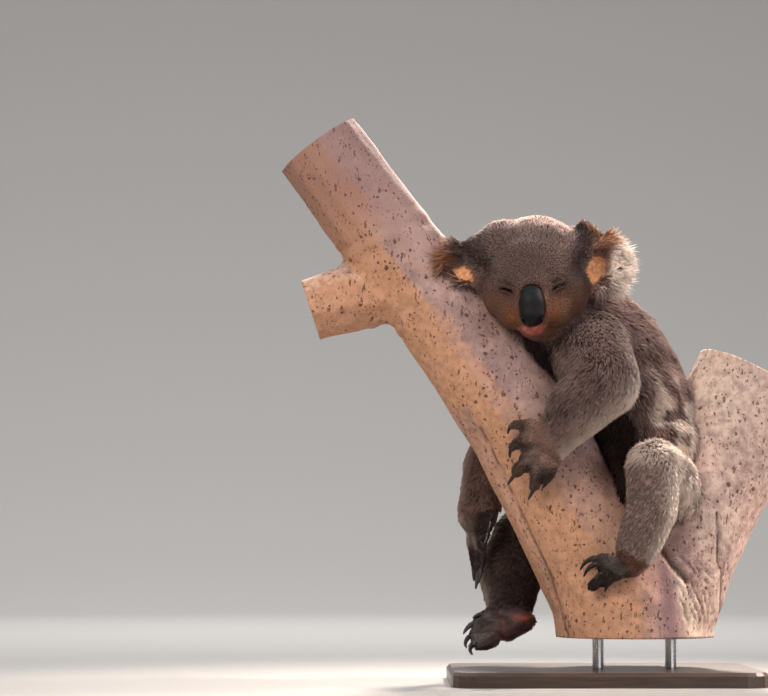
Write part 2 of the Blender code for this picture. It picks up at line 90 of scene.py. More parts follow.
# The coat's making. A tuft is a bent spindle: a root point, three points round its bend, and a tip point.
TUFT_POINTS = 5
TUFT_FACES = np.array([(2, 1, 0), (1, 2, 4), (3, 2, 0), (2, 3, 4), (1, 3, 0), (3, 1, 4)])
TUFT_ALONG = (0, 0.45, 0.45, 0.45, 1.0)  # where along the hair each point takes its colour
TUFT_PATCH = np.array([(0, -0.5), (-0.5, 0), (0, 0), (0.5, 0), (0, 0.5)])  # the points on the bake map
BAKE_PATCH = 0.003  # each tuft's size on the bake map
PIECE_LIMIT = 199000  # triangles in one piece
SIZE_SPREAD = 0.25  # how far the tufts' lengths and widths differ, as a share
YAW_SPREAD = math.radians(13)  # how far tufts stray to the side
RISE_SPREAD = math.radians(6)  # and in their rise
SHADE_SPREAD = 0.34  # how far they differ in tone
LOCK_SPACING = 9  # one tuft in so many leads a lock
LOCK_PULL = 0.50  # how far its followers' tips go towards its own
CROWN_EDGE = 0.30  # the share of face at which the face's coat gives way to the crown's

# The limb. Its cracks are paths of (x, z) on the side that faces -Y.
LIMB_LEAN = math.radians(33)
END_FACES = 10  # a flat with at least this many triangles, and this area, is a sawn end
END_AREA = 0.003
END_MARGIN = 0.025
SPARE_END = 0.008
BARK_THICKNESS = 0.003
LONG_CRACK = [(-0.152, 0.312), (-0.108, 0.222), (-0.066, 0.132), (-0.046, 0.060)]
SPLIT = [(0.068, 0.164), (0.080, 0.146), (0.099, 0.126)]
THIN_CRACK = [(0.136, 0.210), (0.138, 0.150), (0.144, 0.134), (0.145, 0.080)]
BRANCH_COLLAR = (-0.250, 0.0, 0.505)
COLLAR_GAP = 0.014  # between the rings of bark round the branch collar
FOLD_GAP = 0.0076  # between the folds under the fork
FOLD_HEIGHT = 0.0017

# The stage: a round studio bowl, whose floor curves up into its wall.
BOWL_RADIUS = 6.0
BOWL_HEIGHT = 3.6
BOWL_BEND = 2.4
CAMERA_AT = (-0.27, -3.2, 0.16)
CAMERA_AIM = (-0.27, 0.0, 0.415)
CAMERA_LENS = 120.38
LIGHTS_AIM = (-0.06, 0.0, 0.36)
SIDE_AIM = (0.15, 0.0, 0.24)
BACKDROP_AIM = (-0.4, 3.2, 0.0)

FLESH = [
    "head", "jaw", "neck", "torso", "rump", "ear_left", "ear_right",
    "upper_arm_left", "forearm_left", "hand_left", "upper_arm_right", "forearm_right", "hand_right",
    "thigh_left", "shank_left", "foot_left", "thigh_right", "shank_right", "foot_right",
]
PAWS = ("hand_left", "hand_right", "foot_left", "foot_right")
EARS = ((1, "ear_left"), (-1, "ear_right"))  # each with its side
CLAWS = sorted(name for name in NODES if name.startswith("claw_"))

# The coat of each region: hair length, depth of the coat, tuft width, rise at the root and at the tip in
# degrees, tufts on each square centimetre, and how mottled it is. The lengths are in metres.
COATS = {
    "torso": (0.0140, 0.0056, 0.0019, 44, 18, 50, 0.60),
    "rump": (0.0140, 0.0056, 0.0019, 44, 18, 50, 0.70),
    "neck": (0.0130, 0.0050, 0.0019, 44, 20, 54, 0.45),
    "upper_arm": (0.0120, 0.0046, 0.0018, 42, 16, 56, 0.40),
    "thigh": (0.0120, 0.0046, 0.0018, 42, 16, 56, 0.50),
    "forearm": (0.0108, 0.0040, 0.0017, 40, 14, 58, 0.35),
    "shank": (0.0108, 0.0040, 0.0017, 40, 14, 58, 0.45),
    "hand": (0.0055, 0.0010, 0.0013, 26, 6, 80, 0.30),
    "foot": (0.0055, 0.0010, 0.0013, 26, 6, 80, 0.30),
    "head": (0.0085, 0.0036, 0.0015, 40, 18, 100, 0.22),
    "jaw": (0.0042, 0.0016, 0.0011, 30, 12, 100, 0.20),
    "ear": (0.0120, 0.0030, 0.0016, 36, 18, 95, 0.25),
}
FACE_LENGTH, FACE_DEPTH, FACE_WIDTH = 0.34, 0.36, 0.62  # the face's hair, as shares of the crown's
PER_SQUARE_CM = 1e4  # in a square metre
LENGTH, DEPTH, WIDTH, ROOT_RISE, TIP_RISE, DENSITY, MOTTLE = range(7)
BORDER = 22  # rounds of mixing between the coats, and the lies, of neighbouring regions

# The pieces that the coat is made in, and the flesh that each one grows on.
COAT_PIECES = {
    "coat_face_left": ("head", "jaw"),
    "coat_face_right": ("head", "jaw"),
    "coat_crown": ("head",),
    "coat_ears": ("ear_left", "ear_right"),
    "coat_neck": ("neck",),
    "coat_back": ("torso",),
    "coat_rump": ("rump", "thigh_left", "shank_left", "foot_left"),
    "coat_arm_left": ("upper_arm_left", "forearm_left", "hand_left"),
    "coat_arm_right": ("upper_arm_right",),
    "coat_forearm_right": ("forearm_right", "hand_right"),
    "coat_thigh_right": ("thigh_right",),
    "coat_shank_right": ("shank_right", "foot_right"),
}

# Which way the hair of each solid lies: from the middle of one solid towards that of another.
LIES = {
    "neck": ("head", "torso"),
    "torso": ("neck", "rump"),
    "rump": ("neck", "rump"),
    "upper_arm_left": ("neck", "forearm_left"),
    "forearm_left": ("upper_arm_left", "hand_left"),
    "hand_left": ("forearm_left", "claw_hand_left_third"),
    "upper_arm_right": ("neck", "forearm_right"),
    "forearm_right": ("upper_arm_right", "hand_right"),
    "hand_right": ("forearm_right", "claw_hand_right_fourth"),
    "thigh_left": ("torso", "shank_left"),
    "shank_left": ("thigh_left", "foot_left"),
    "foot_left": ("shank_left", "claw_foot_left_third"),
    "thigh_right": ("torso", "shank_right"),
    "shank_right": ("thigh_right", "foot_right"),
    "foot_right": ("shank_right", "claw_foot_right_third"),
}

# The pale, dark and warm shares that lie evenly on a solid: hair colour, and painted shade on the right arm
# and leg.
EVEN_MARKS_AND_PAINTED_SHADE = {
    "upper_arm_left": (0, 0.08, 0),
    "forearm_left": (0, 0.08, 0),
    "hand_left": (0.09, 0, 0.42),
    "shank_left": (0.12, 0, 0.08),
    "foot_left": (0, 0.15, 0.42),
    # Painted shade: the right arm darker and warmer, and the right leg darker, as if in the limb's shadow.
    "upper_arm_right": (0, 0.42, 0.20),
    "forearm_right": (0, 0.42, 0.20),
    "hand_right": (0, 0.42, 0.20),
    "thigh_right": (0, 0.55, 0),
    "shank_right": (0, 0.55, 0),
}

# Those that lie on one side of some solids, as hair colour and as painted light and shade:
# the share, its strength, the way it faces and how narrow it is.
PALE, DARK, WARM = range(3)
ARM = ("forearm_left", "upper_arm_left")
LEG = ("shank_left", "thigh_left", "foot_left")
SIDE_MARKS_AND_PAINTED_LIGHT = [
    (ARM, PALE, 0.45, (0.75, 0.25, -0.75), 2),
    # Painted light on the left upper arm's right rim.
    (ARM, PALE, 0.50, (1.0, -0.1, -0.2), 4),
    (ARM, PALE, 0.30, (0.5, -0.2, -1.0), 2),
    (ARM, WARM, 0.45, (0.5, 0.0, -1.0), 2),
    # Pale fur on the left leg's outer side, partly painted light on the side that faces the side light.
    (LEG, PALE, 0.45, (0.9, 0.6, -0.2), 2),
    # Painted light on the left leg's right edges.
    (LEG, PALE, 0.40, (1.0, -0.25, 0.1), 4),
    (LEG, WARM, 0.15, (0.6, 0.2, -1.0), 1),
    # Painted light on the left shank's right side.
    (("shank_left",), PALE, 0.85, (1.0, 0.0, -0.1), 2),
    (("foot_left",), PALE, 0.60, (0.2, -0.3, 1.0), 2),
    (("forearm_right", "hand_right", "shank_right"), PALE, 0.28, (-1.0, 0.1, -0.2), 3),
    # Painted shade on the front of the right leg.
    (("thigh_right", "shank_right"), DARK, 0.40, (0.4, -1.0, 0.5), 1),
]


def region_of(name):
    """A solid's name without its side, which is its region in the coats' table."""
    return name.replace("_left", "").replace("_right", "")


# Small tools.


def linear(colour):
    """An sRGB hex colour as linear red, green, blue and alpha."""
    values = [int(colour[n:n + 2], 16) / 255 for n in (1, 3, 5)]
    return (*(v / 12.92 if v <= 0.04045 else ((v + 0.055) / 1.055) ** 2.4 for v in values), 1.0)


def smoothstep(low, high, values):
    """0 below the low value, 1 above the high one, and a soft step between them."""
    t = np.clip((values - low) / (high - low), 0.0, 1.0)
    return t * t * (3 - 2 * t)


def bump_at(values, at, width):
    """A smooth hump of height 1 at a value."""
    return np.exp(-((values - at) / width) ** 2)


def unit(vectors):
    """Vectors made 1 long."""
    return vectors / np.maximum(np.linalg.norm(vectors, axis=-1, keepdims=True), 1e-9)


def middle(name):
    """The middle of a solid's box."""
    low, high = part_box(name)
    return (np.array(low) + np.array(high)) / 2


def alone(obj):
    """Selects one object and makes it active."""
    bpy.ops.object.select_all(action="DESELECT")
    obj.select_set(True)
    bpy.context.view_layer.objects.active = obj


def select_points(obj, chosen):
    """Selects the chosen points of an object, and leaves it in edit mode."""
    alone(obj)
    bpy.ops.object.mode_set(mode="EDIT")
    bpy.ops.mesh.select_mode(type="VERT")
    bpy.ops.mesh.select_all(action="DESELECT")
    bpy.ops.object.mode_set(mode="OBJECT")
    obj.data.vertices.foreach_set("select", chosen)
    bpy.ops.object.mode_set(mode="EDIT")


def apply_modifier(obj, kind, **settings):
    """Adds a modifier with its settings to an object, and applies it."""
    alone(obj)
    modifier = obj.modifiers.new(kind.lower(), kind)
    for key, value in settings.items():
        setattr(modifier, key, value)
    bpy.ops.object.modifier_apply(modifier=modifier.name)


def fused_copy(name, nodes, swell=0.0):
    """A new object of copies of solids, each with its loose triangles merged, and grown a little."""
    copies = []
    for node in nodes:
        copy = bpy.data.objects.new(name, NODES[node].data.copy())
        bpy.context.scene.collection.objects.link(copy)
        alone(copy)
        bpy.ops.object.mode_set(mode="EDIT")
        bpy.ops.mesh.select_all(action="SELECT")
        bpy.ops.mesh.remove_doubles(threshold=1e-5)
        bpy.ops.transform.shrink_fatten(value=swell)
        bpy.ops.object.mode_set(mode="OBJECT")
        copies.append(copy)
    for copy in copies:
        copy.select_set(True)
    if len(copies) > 1:
        bpy.ops.object.join()
    obj = bpy.context.view_layer.objects.active
    obj.name = obj.data.name = name
    obj.data.materials.clear()
    return obj


def points_of(mesh):
    flat = np.empty(len(mesh.vertices) * 3, np.float32)
    mesh.vertices.foreach_get("co", flat)
    return flat.reshape(-1, 3).astype(float)


def set_points(mesh, points):
    mesh.vertices.foreach_set("co", points.astype(np.float32).ravel())
    mesh.update()


def normals_of(mesh):
    flat = np.empty(len(mesh.vertices) * 3, np.float32)
    mesh.vertex_normals.foreach_get("vector", flat)
    return flat.reshape(-1, 3).astype(float)


def edges_of(mesh):
    flat = np.empty(len(mesh.edges) * 2, np.int32)
    mesh.edges.foreach_get("vertices", flat)
    return flat.reshape(-1, 2)


def spread(values, edges, rounds, amount=0.5):
    """Mixes each point's values with its neighbours' mean."""
    values = np.array(values, float)
    flat = values.reshape(len(values), -1)
    ends = np.concatenate([edges[:, 0], edges[:, 1]])
    others = np.concatenate([edges[:, 1], edges[:, 0]])
    count = np.maximum(np.bincount(ends, minlength=len(values)), 1)
    for _ in range(rounds):
        for column in range(flat.shape[1]):
            mean = np.bincount(ends, weights=flat[others, column], minlength=len(values)) / count
            flat[:, column] += amount * (mean - flat[:, column])
    return flat.reshape(values.shape)


def softened(points, edges, rounds, weight):
    """Smooths a surface without shrinking it much."""
    for _ in range(rounds):
        for amount in (0.55, -0.57):
            points = points + (spread(points, edges, 1, 1.0) - points) * amount * weight[:, None]
    return points


def clouds_at(points, size, seed):
    """Soft noise from -1 to 1 at each point."""
    shift = Vector((seed, 2 * seed, 3 * seed))
    return np.array([noise.noise(Vector(point) / size + shift) for point in points])


def set_attribute(mesh, name, values, kind):
    """Stores values for each point of a mesh."""
    attribute = mesh.attributes.new(name, kind, "POINT")
    key = {"FLOAT": "value", "FLOAT_VECTOR": "vector", "FLOAT_COLOR": "color"}[kind]
    attribute.data.foreach_set(key, np.ascontiguousarray(values, np.float32).ravel())


def surface_tree(nodes):
    """A search tree over solids, with the node's number for each of its triangles."""
    points, faces, labels = [], [], []
    for number, name in enumerate(nodes):
        mesh = NODES[name].data
        start = len(points)
        points.extend(v.co.copy() for v in mesh.vertices)
        for face in mesh.polygons:
            faces.append([start + v for v in face.vertices])
            labels.append(number)
    return BVHTree.FromPolygons(points, faces), labels


def distance_to(nodes, points, reach):
    """How far each point is from the nearest of some solids, up to a reach."""
    tree, _ = surface_tree(nodes)
    found = np.full(len(points), reach)
    for number, point in enumerate(points):
        near = tree.find_nearest(Vector(point), reach)
        if near[0] is not None:
            found[number] = near[3]
    return found


# The head's own frame.


def head_frame():
    turn = (Matrix.Rotation(HEAD_TURN, 4, "Z") @ Matrix.Rotation(HEAD_ROLL, 4, "Y")
            @ Matrix.Rotation(HEAD_PITCH, 4, "X"))
    between_eyes = Vector((middle("eye_left") + middle("eye_right")) / 2)
    return Matrix.Translation(between_eyes - (turn @ Vector((0, EYE_AT.y, EYE_AT.z)))) @ turn


HEAD = head_frame()
HEAD_TURNED = np.array(HEAD.to_3x3())
HEAD_AT = np.array(HEAD.translation)


def on_head(points):
    """World points as places in the head's own frame."""
    return (points - HEAD_AT) @ HEAD_TURNED


def off_head(vectors):
    """Directions in the head's own frame as world directions."""
    return vectors @ HEAD_TURNED.T


# The skin.

FLESH_TREE, FLESH_LABELS = surface_tree(FLESH)


def label_of(points):
    """The number of the flesh node nearest to each point."""
    found = np.empty(len(points), int)
    for number, point in enumerate(points):
        found[number] = FLESH_LABELS[FLESH_TREE.find_nearest(Vector(point))[2]]
    return found


def is_one_of(labels, names):
    return np.isin(labels, [FLESH.index(name) for name in names])


def refine(skin, reach):
    """Splits the faces round both eyes once."""
    local = on_head(points_of(skin.data))
    near = np.zeros(len(local), bool)
    for side in (-1, 1):
        offset = (local - np.array((side * EYE_AT.x, EYE_FRONT, EYE_AT.z))) / np.array((1.0, 1.0, 0.75))
        near |= np.linalg.norm(offset, axis=1) < reach
    select_points(skin, near)
    bpy.ops.mesh.subdivide(number_cuts=1)
    bpy.ops.object.mode_set(mode="OBJECT")


def face_share(local):
    """1 on the face, 0 on the crown and nape, from places in the head's frame."""
    return smoothstep(0.028, -0.034, local[:, 1] + 0.55 * local[:, 2])


def coat_values(column, labels, local, edges, rounds=BORDER):
    """One column of the coats' table for each point, with soft borders."""
    table = np.array([COATS[region_of(name)][column] for name in FLESH])
    values = table[labels]
    if column in (LENGTH, DEPTH, WIDTH):
        on_face = face_share(local) * is_one_of(labels, ("head",))
        floor = {LENGTH: FACE_LENGTH, DEPTH: FACE_DEPTH, WIDTH: FACE_WIDTH}[column]
        values = values * (1 - (1 - floor) * on_face)
    return spread(values, edges, rounds)


def drawn_in_ears(points, labels):
    """The ears' rims drawn in, which leaves room for their fringes."""
    points = points.copy()
    for side, name in EARS:
        local = on_head(points)
        centre = on_head(middle(name))
        mine = is_one_of(labels, (name,))
        arm = (local - centre) * np.array((1, 0, 1))
        out = np.linalg.norm(arm, axis=1)
        free = smoothstep(0.060, 0.082, side * local[:, 0]) * smoothstep(0.018, 0.040, out) * mine
        points -= off_head(unit(arm) * (EAR_DRAW * free)[:, None])
    return points


def eye_places(local, side):
    """Places along and across one eye's slit, in metres: outwards and up."""
    out = side * local[:, 0] - EYE_AT.x
    up = local[:, 2] - EYE_AT.z
    along = out * math.cos(LID_SLANT) + up * math.sin(LID_SLANT)
    across = up * math.cos(LID_SLANT) - out * math.sin(LID_SLANT)
    return along, across + 12.0 * along ** 2 - 0.0006


def on_lids(local):
    """1 on the bare lids, 0 off them."""
    share = np.zeros(len(local))
    for side in (-1, 1):
        along, across = eye_places(local, side)
        share += np.exp(-(along / 0.0092) ** 4 - ((across + 0.0004) / 0.0040) ** 4)
    return share * smoothstep(-0.025, -0.034, local[:, 1])


def lids(local):
    """How far the skin stands out round the eyes: lids with their creases, and the slit between them."""
    height = np.zeros(len(local))
    for side in (-1, 1):
        along, across = eye_places(local, side)
        front = smoothstep(-0.025, -0.034, local[:, 1])
        reach = front * np.exp(-(along / 0.0105) ** 4)
        height += reach * 0.0016 * np.exp(-(across / 0.0080) ** 2)
        height += reach * 0.0016 * bump_at(across, 0.0032, 0.0015)
        height -= reach * 0.0020 * bump_at(across, 0.0064, 0.0013)
        height += reach * 0.0013 * bump_at(across, -0.0030, 0.0013)
        height -= reach * 0.0015 * bump_at(across, -0.0058, 0.0012)
        inside = 1 - (along / 0.0082) ** 2 - (across / EYE_OPENING[side]) ** 2
        height -= front * 0.0060 * smoothstep(-0.25, 0.55, inside)
    return height


def mouth(local):
    """The line of the mouth under the nose, the lip's swell and the fold at each side of the muzzle."""
    x, y, z = local.T
    front = smoothstep(-0.030, -0.045, y)
    line = -0.0575 + 6.0 * x ** 2
    height = -0.0024 * bump_at(z, line, 0.0015) * front * np.exp(-(x / 0.020) ** 4)
    height += 0.0012 * bump_at(z, line - 0.0050, 0.0032) * front * np.exp(-(x / 0.013) ** 4)
    fold = np.abs(x) - (0.0225 + 0.25 * (z + 0.040))
    muzzle = smoothstep(-0.066, -0.050, z) * smoothstep(-0.018, -0.030, z)
    height -= 0.0012 * bump_at(fold, 0.0, 0.0025) * front * muzzle
    return height


def build_skin(voxel):
    """One closed surface fused from all the flesh, drawn in by the depth of the coat."""
    skin = fused_copy("koala_skin", FLESH, swell=SKIN_SWELL)
    apply_modifier(skin, "REMESH", mode="VOXEL", voxel_size=voxel)
    points, edges = points_of(skin.data), edges_of(skin.data)
    labels = label_of(points)
    fine = spread(is_one_of(labels, PAWS + ("jaw",)).astype(float), edges, 6)
    points = softened(points, edges, 5, np.ones(len(points)))
    points = softened(points, edges, 26, 1.0 - 0.95 * fine)
    set_points(skin.data, points)
    for reach in EYE_REACHES:
        refine(skin, reach)

    points, edges = points_of(skin.data), edges_of(skin.data)
    labels = label_of(points)
    local = on_head(points)
    eye_level = smoothstep(0.03, 0.01, np.abs(local[:, 2] + 0.015)) * is_one_of(labels, ("head",))
    points = softened(points, edges, 3, eye_level)
    depth = coat_values(DEPTH, labels, local, edges)
    set_points(skin.data, points)
    depth = depth + CREASE_DEPTH * creases(points, labels)
    points = points - normals_of(skin.data) * depth[:, None]
    points = drawn_in_ears(points, labels)
    paws = spread(is_one_of(labels, PAWS).astype(float), edges, 4)
    points = softened(points, edges, 3, 1.0 - 0.9 * paws)
    local = on_head(points)
    height = (lids(local) + mouth(local)) * is_one_of(labels, ("head", "jaw"))
    points -= off_head(np.tile(HEAD_BACK, (len(points), 1))) * height[:, None]
    set_points(skin.data, points)
    return skin, labels, edges


# The markings, which skin and coat share, with painted light and painted shade among them.


def towards(normals, direction):
    """How much each normal faces a direction, from 0 to 1."""
    return np.clip(normals @ (np.array(direction) / np.linalg.norm(direction)), 0, 1)


def head_marks(local, head, jaw):
    """The head's warm, dark and lip shares, from places in its own frame."""
    x, y, z = local.T
    face = face_share(local)
    muzzle = bump_at(np.abs(x), 0.024, 0.009) * bump_at(z, -0.046, 0.010)
    muzzle = muzzle * smoothstep(-0.035, -0.050, y)
    below = smoothstep(0.000, -0.026, z) * face
    warm = head * (0.16 * face + 0.58 * below + 0.55 * muzzle) + jaw * 0.75
    dark = head * (0.15 + 0.34 * face) * (1 - 0.9 * muzzle) + jaw * 0.10
    dark += head * 0.62 * smoothstep(0.044, 0.060, np.abs(x)) * smoothstep(-0.004, 0.010, z)
    rim = (head | jaw) * bump_at(np.abs(x), 0.0180, 0.0030) * bump_at(z, -0.042, 0.016)
    rim = rim * smoothstep(-0.045, -0.055, y)
    lip = (head | jaw) * smoothstep(0.0, 0.55, 1 - (x / 0.0185) ** 2 - ((z + 0.0600) / 0.0125) ** 2)
    lip *= smoothstep(-0.0540, -0.0572, z) * smoothstep(-0.040, -0.050, y)
    for side in (-1, 1):
        along, across = eye_places(local, side)
        front = (y < -0.02) * head
        # Painted shade in each eye's socket and in the crease over its upper lid; the slit is drawn dark.
        socket = np.exp(-(along / 0.016) ** 2 - ((across + 0.002) / 0.0085) ** 2)
        dark += 0.20 * socket * front
        warm += 0.35 * np.exp(-((along + 0.002) / 0.009) ** 2 - ((across - 0.0045) / 0.0030) ** 2) * front
        dark += 0.30 * np.exp(-(along / 0.013) ** 2 - ((across - 0.0085) / 0.0025) ** 2) * front
        dark += 1.00 * np.exp(-(along / 0.0098) ** 4 - (across / 0.0015) ** 2) * front
        lip += 0.10 * np.exp(-(along / 0.0080) ** 4 - ((across + 0.0032) / 0.0016) ** 2) * front
    return warm, dark, lip + 0.30 * rim + 0.16 * head * muzzle


def ear_marks(side, out, up, front):
    """One ear's pale, dark, warm and bare shares, from places out and up from its middle."""
    if side > 0:
        bare = front * bump_at(out - 0.3 * up, -0.008, 0.013) * bump_at(up, -0.009, 0.017)
        dark = 0.95 * smoothstep(-0.008, -0.022, out) * smoothstep(-0.016, 0.002, up)
        warm = 0.80 * bump_at(out, -0.002, 0.016) * smoothstep(0.008, 0.022, up)
        outer = out - 0.30 * np.maximum(up - 0.01, 0) - 0.50 * np.minimum(up + 0.01, 0)
        pale = smoothstep(0.002, 0.010, outer) + front * 0.9 * smoothstep(-0.024, -0.033, up)
    else:
        bare = front * bump_at(out, -0.004, 0.015) * bump_at(up, -0.016, 0.014)
        white = bump_at(out, -0.010, 0.014) * smoothstep(0.026, 0.036, up)
        dark = 0.95 * smoothstep(0.010, -0.004, out + 0.3 * (up - 0.010)) * smoothstep(-0.014, 0.000, up)
        dark = dark * (1 - white)
        dark = dark + 0.90 * bump_at(out, 0.018, 0.010) * bump_at(up, -0.018, 0.010)
        warm = 0.75 * smoothstep(-0.004, 0.010, out) * smoothstep(-0.012, 0.004, up)
        pale = 0.95 * white + 0.50 * smoothstep(0.024, 0.036, out + 0.2 * up)
    bare = np.clip(1.6 * bare, 0, 1)
    return pale * (1 - 0.7 * bare) + 0.10 * bare, dark * (1 - bare), np.maximum(warm, 0.9 * bare), bare


def creases(points, labels):
    """1 in the furrows between the digits of each paw, 0 on the digits."""
    share = np.zeros(len(points))
    for paw in PAWS:
        mine = is_one_of(labels, (paw,))
        palm = middle(paw)
        gaps = []
        for name in CLAWS:
            if name.startswith(f"claw_{paw}_"):
                along = middle(name) - palm
                part = np.clip((points[mine] - palm) @ along / (along @ along), 0.35, 1)
                gaps.append(np.linalg.norm(points[mine] - palm - part[:, None] * along, axis=1))
        first, second = np.sort(gaps, axis=0)[:2]
        share[mine] = smoothstep(0.0045, 0.0005, second - first) * smoothstep(0.024, 0.014, first)
    return share


def paw_marks(points, normals, labels):
    """The paws' leathery soles, dark digits and pink heel pad."""
    digit, sole, pad = (np.zeros(len(points)) for _ in range(3))
    paw = is_one_of(labels, PAWS)
    claw_gap = distance_to(CLAWS, points[paw], 0.05)
    digit[paw] = smoothstep(0.025, 0.014, claw_gap)
    digit *= 1 - 0.18 * is_one_of(labels, ("hand_left", "foot_left"))
    for name, corner in (("foot_left", (0.009, 0.028, 0.008)), ("foot_right", (0.014, 0.010, 0.009))):
        great_toe = np.array(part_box(name)[0]) + corner
        away = np.linalg.norm(points - great_toe, axis=1)
        digit += is_one_of(labels, (name,)) * smoothstep(0.026, 0.016, away)
    palm = is_one_of(labels, ("hand_right",)) * smoothstep(0.30, 0.65, towards(normals, (1.0, -0.2, 0.1)))
    under_foot = smoothstep(0.10, 0.45, towards(normals, (0.1, -1.0, -0.1)))
    sole_side = is_one_of(labels, ("foot_right",)) * under_foot
    gripping = smoothstep(0.2, 0.6, towards(normals, (0.2, 1.0, 0.0)))
    sole += palm + sole_side + is_one_of(labels, ("hand_left", "foot_left")) * gripping
    high = np.array(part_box("foot_right")[1])
    x, _, z = points.T
    heel = np.exp(-((x - high[0] + 0.020) / 0.0115) ** 4 - ((z - high[2] + 0.016) / 0.0042) ** 4)
    crease = bump_at(x, high[0] - 0.047 + 0.15 * (high[2] - z), 0.0022)
    crease = crease * smoothstep(high[2] - 0.012, high[2] - 0.022, z)
    pad += sole_side * np.clip(0.50 * heel + 0.20 * crease, 0, 1)
    return sole, digit, pad


def markings_and_painted_light_of(points, normals, labels, edges):
    """Each point's pale, dark and warm shares and its pink lip, then its sole, digit, pad and inner ear. Some
    of the pale is painted light and some of the dark is painted shade.
    """
    local = on_head(points)
    facing = normals @ HEAD_TURNED
    pale, inner = (np.zeros(len(points)) for _ in range(2))
    head = is_one_of(labels, ("head",))
    jaw = is_one_of(labels, ("jaw",))
    warm, dark, lip = head_marks(local, head, jaw)

    for side, name in EARS:
        mine = is_one_of(labels, (name,))
        centre = on_head(middle(name))
        out = side * (local[:, 0] - centre[0])
        up = local[:, 2] - centre[2]
        front = smoothstep(0.30, -0.30, facing[:, 1])
        for total, share in zip((pale, dark, warm, inner), ear_marks(side, out, up, front)):
            total += mine * share

    trunk = is_one_of(labels, ("torso", "neck", "rump"))
    # The trunk is a little darker all over, and painted shade darkens its belly and the sides that turn to the
    # limb and down.
    dark += trunk * (0.12 + 0.83 * smoothstep(0.10, 0.50, towards(normals, (-1, 0, -0.5))))
    # Pale patches on the right side of the rump and thighs, partly pale fur and partly painted light, in
    # dapples.
    rump = is_one_of(labels, ("rump", "thigh_left", "thigh_right"))
    fur_and_painted_light_dapple = smoothstep(-0.15, 0.25, clouds_at(points, 0.013, 4.0))
    pale += rump * 0.95 * smoothstep(0.15, 0.75, towards(normals, (1, -0.1, 0.1))) * fur_and_painted_light_dapple
    # Pale drifts on the lower back's right side, partly pale fur and partly painted light.
    low_back = smoothstep(0.40, 0.34, points[:, 2])
    low_back = low_back * smoothstep(0.20, 0.65, towards(normals, (1, -0.25, 0.1)))
    drifts = smoothstep(-0.10, 0.22, clouds_at(points, 0.022, 14.0))
    pale += is_one_of(labels, ("torso",)) * 0.72 * low_back * drifts
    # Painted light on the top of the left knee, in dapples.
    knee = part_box("thigh_left")[1][2]
    on_knee = smoothstep(knee - 0.034, knee - 0.008, points[:, 2]) * (0.6 + 0.4 * fur_and_painted_light_dapple)
    pale += is_one_of(labels, LEG) * 0.75 * on_knee
    even = np.array([EVEN_MARKS_AND_PAINTED_SHADE.get(name, (0, 0, 0)) for name in FLESH])[labels]
    for total, share in zip((pale, dark, warm), even.T):
        total += share
    for names, column, strength, way, narrow in SIDE_MARKS_AND_PAINTED_LIGHT:
        total = (pale, dark, warm)[column]
        total += is_one_of(labels, names) * strength * towards(normals, way) ** narrow
    sole, digit, pad = paw_marks(points, normals, labels)
    # Painted shade in the furrows between the digits; the digits themselves are dark skin.
    dark += 0.85 * digit + 0.75 * creases(points, labels)
    groups = [np.clip(values, 0, 1) for values in (pale, dark, warm, lip, sole, digit, pad, inner)]
    groups[0] *= 1 - groups[5]
    soft = spread(np.stack(groups, axis=1), edges, 2)
    return soft[:, :4], soft[:, 4:]


def hairlessness(points, tones, bare_parts):
    """How bare the skin is at each point: 1 where no hair grows."""
    sole, digit, _, inner = bare_parts.T
    lip = smoothstep(0.55, 0.75, tones[:, 3])
    bare = smoothstep(0.15, 0.75, sole) + 0.20 * digit + smoothstep(0.15, 0.80, inner) + lip
    return np.clip(bare + 0.9 * smoothstep(0.35, 0.70, on_lids(on_head(points))), 0, 1)


def tone_of(points, labels, mottle):
    """The coat's light and dark patches, from 0 to 1: clouds 24 mm across, clumps of 6 mm, and ripples."""
    ripple = np.zeros(len(points))
    for name in ("shank_left", "shank_right"):
        way = unit(middle(LIES[name][1]) - middle(LIES[name][0]))
        mine = is_one_of(labels, (name,))
        down = points[mine] @ way + 0.006 * clouds_at(points[mine], 0.014, 9.0)
        ripple[mine] = np.sin(down * 2 * math.pi / RIPPLE_GAP)
    patches = clouds_at(points, 0.024, 2.0)
    clumps = clouds_at(points, 0.006, 7.0)
    return np.clip(0.5 + mottle * (1.1 * patches + 0.7 * clumps + 1.30 * ripple), 0, 1)


# The coat.


def lie_of_coat(points, normals, labels, edges):
    """The direction of the hair at each point, along the skin."""
    local = on_head(points)
    flow = np.zeros_like(points)
    for name, (start, end) in LIES.items():
        flow[is_one_of(labels, (name,))] = unit(middle(end) - middle(start))
    head = is_one_of(labels, ("head", "jaw"))
    flow[head] = off_head(unit(local - NOSE_TIP) + np.array((0, 0.45, 0)))[head]
    for side, name in EARS:
        mine = is_one_of(labels, (name,))
        away = unit(local - EAR_ROOT * np.array((side, 1, 1)))
        flow[mine] = (off_head(away) + np.array((0, 0, -0.25)))[mine]
    flow = spread(unit(flow), edges, BORDER)
    flow -= normals * np.sum(flow * normals, axis=1, keepdims=True)
    return unit(flow)


def ear_lengths(points, labels):
    """How much longer the hair is at each point of the ears: the fringes."""
    local = on_head(points)
    longer = np.zeros(len(points))
    for side, name, reach in ((1, "ear_left", 0.019), (-1, "ear_right", 0.016)):
        centre = on_head(middle(name))
        out = side * (local[:, 0] - centre[0])
        up = local[:, 2] - centre[2]
        rim = smoothstep(0.010, 0.024, np.hypot(out, up)) * smoothstep(-0.020, 0.004, out)
        longer += is_one_of(labels, (name,)) * reach * rim * (1 - 0.55 * smoothstep(0.008, 0.026, up))
    return longer


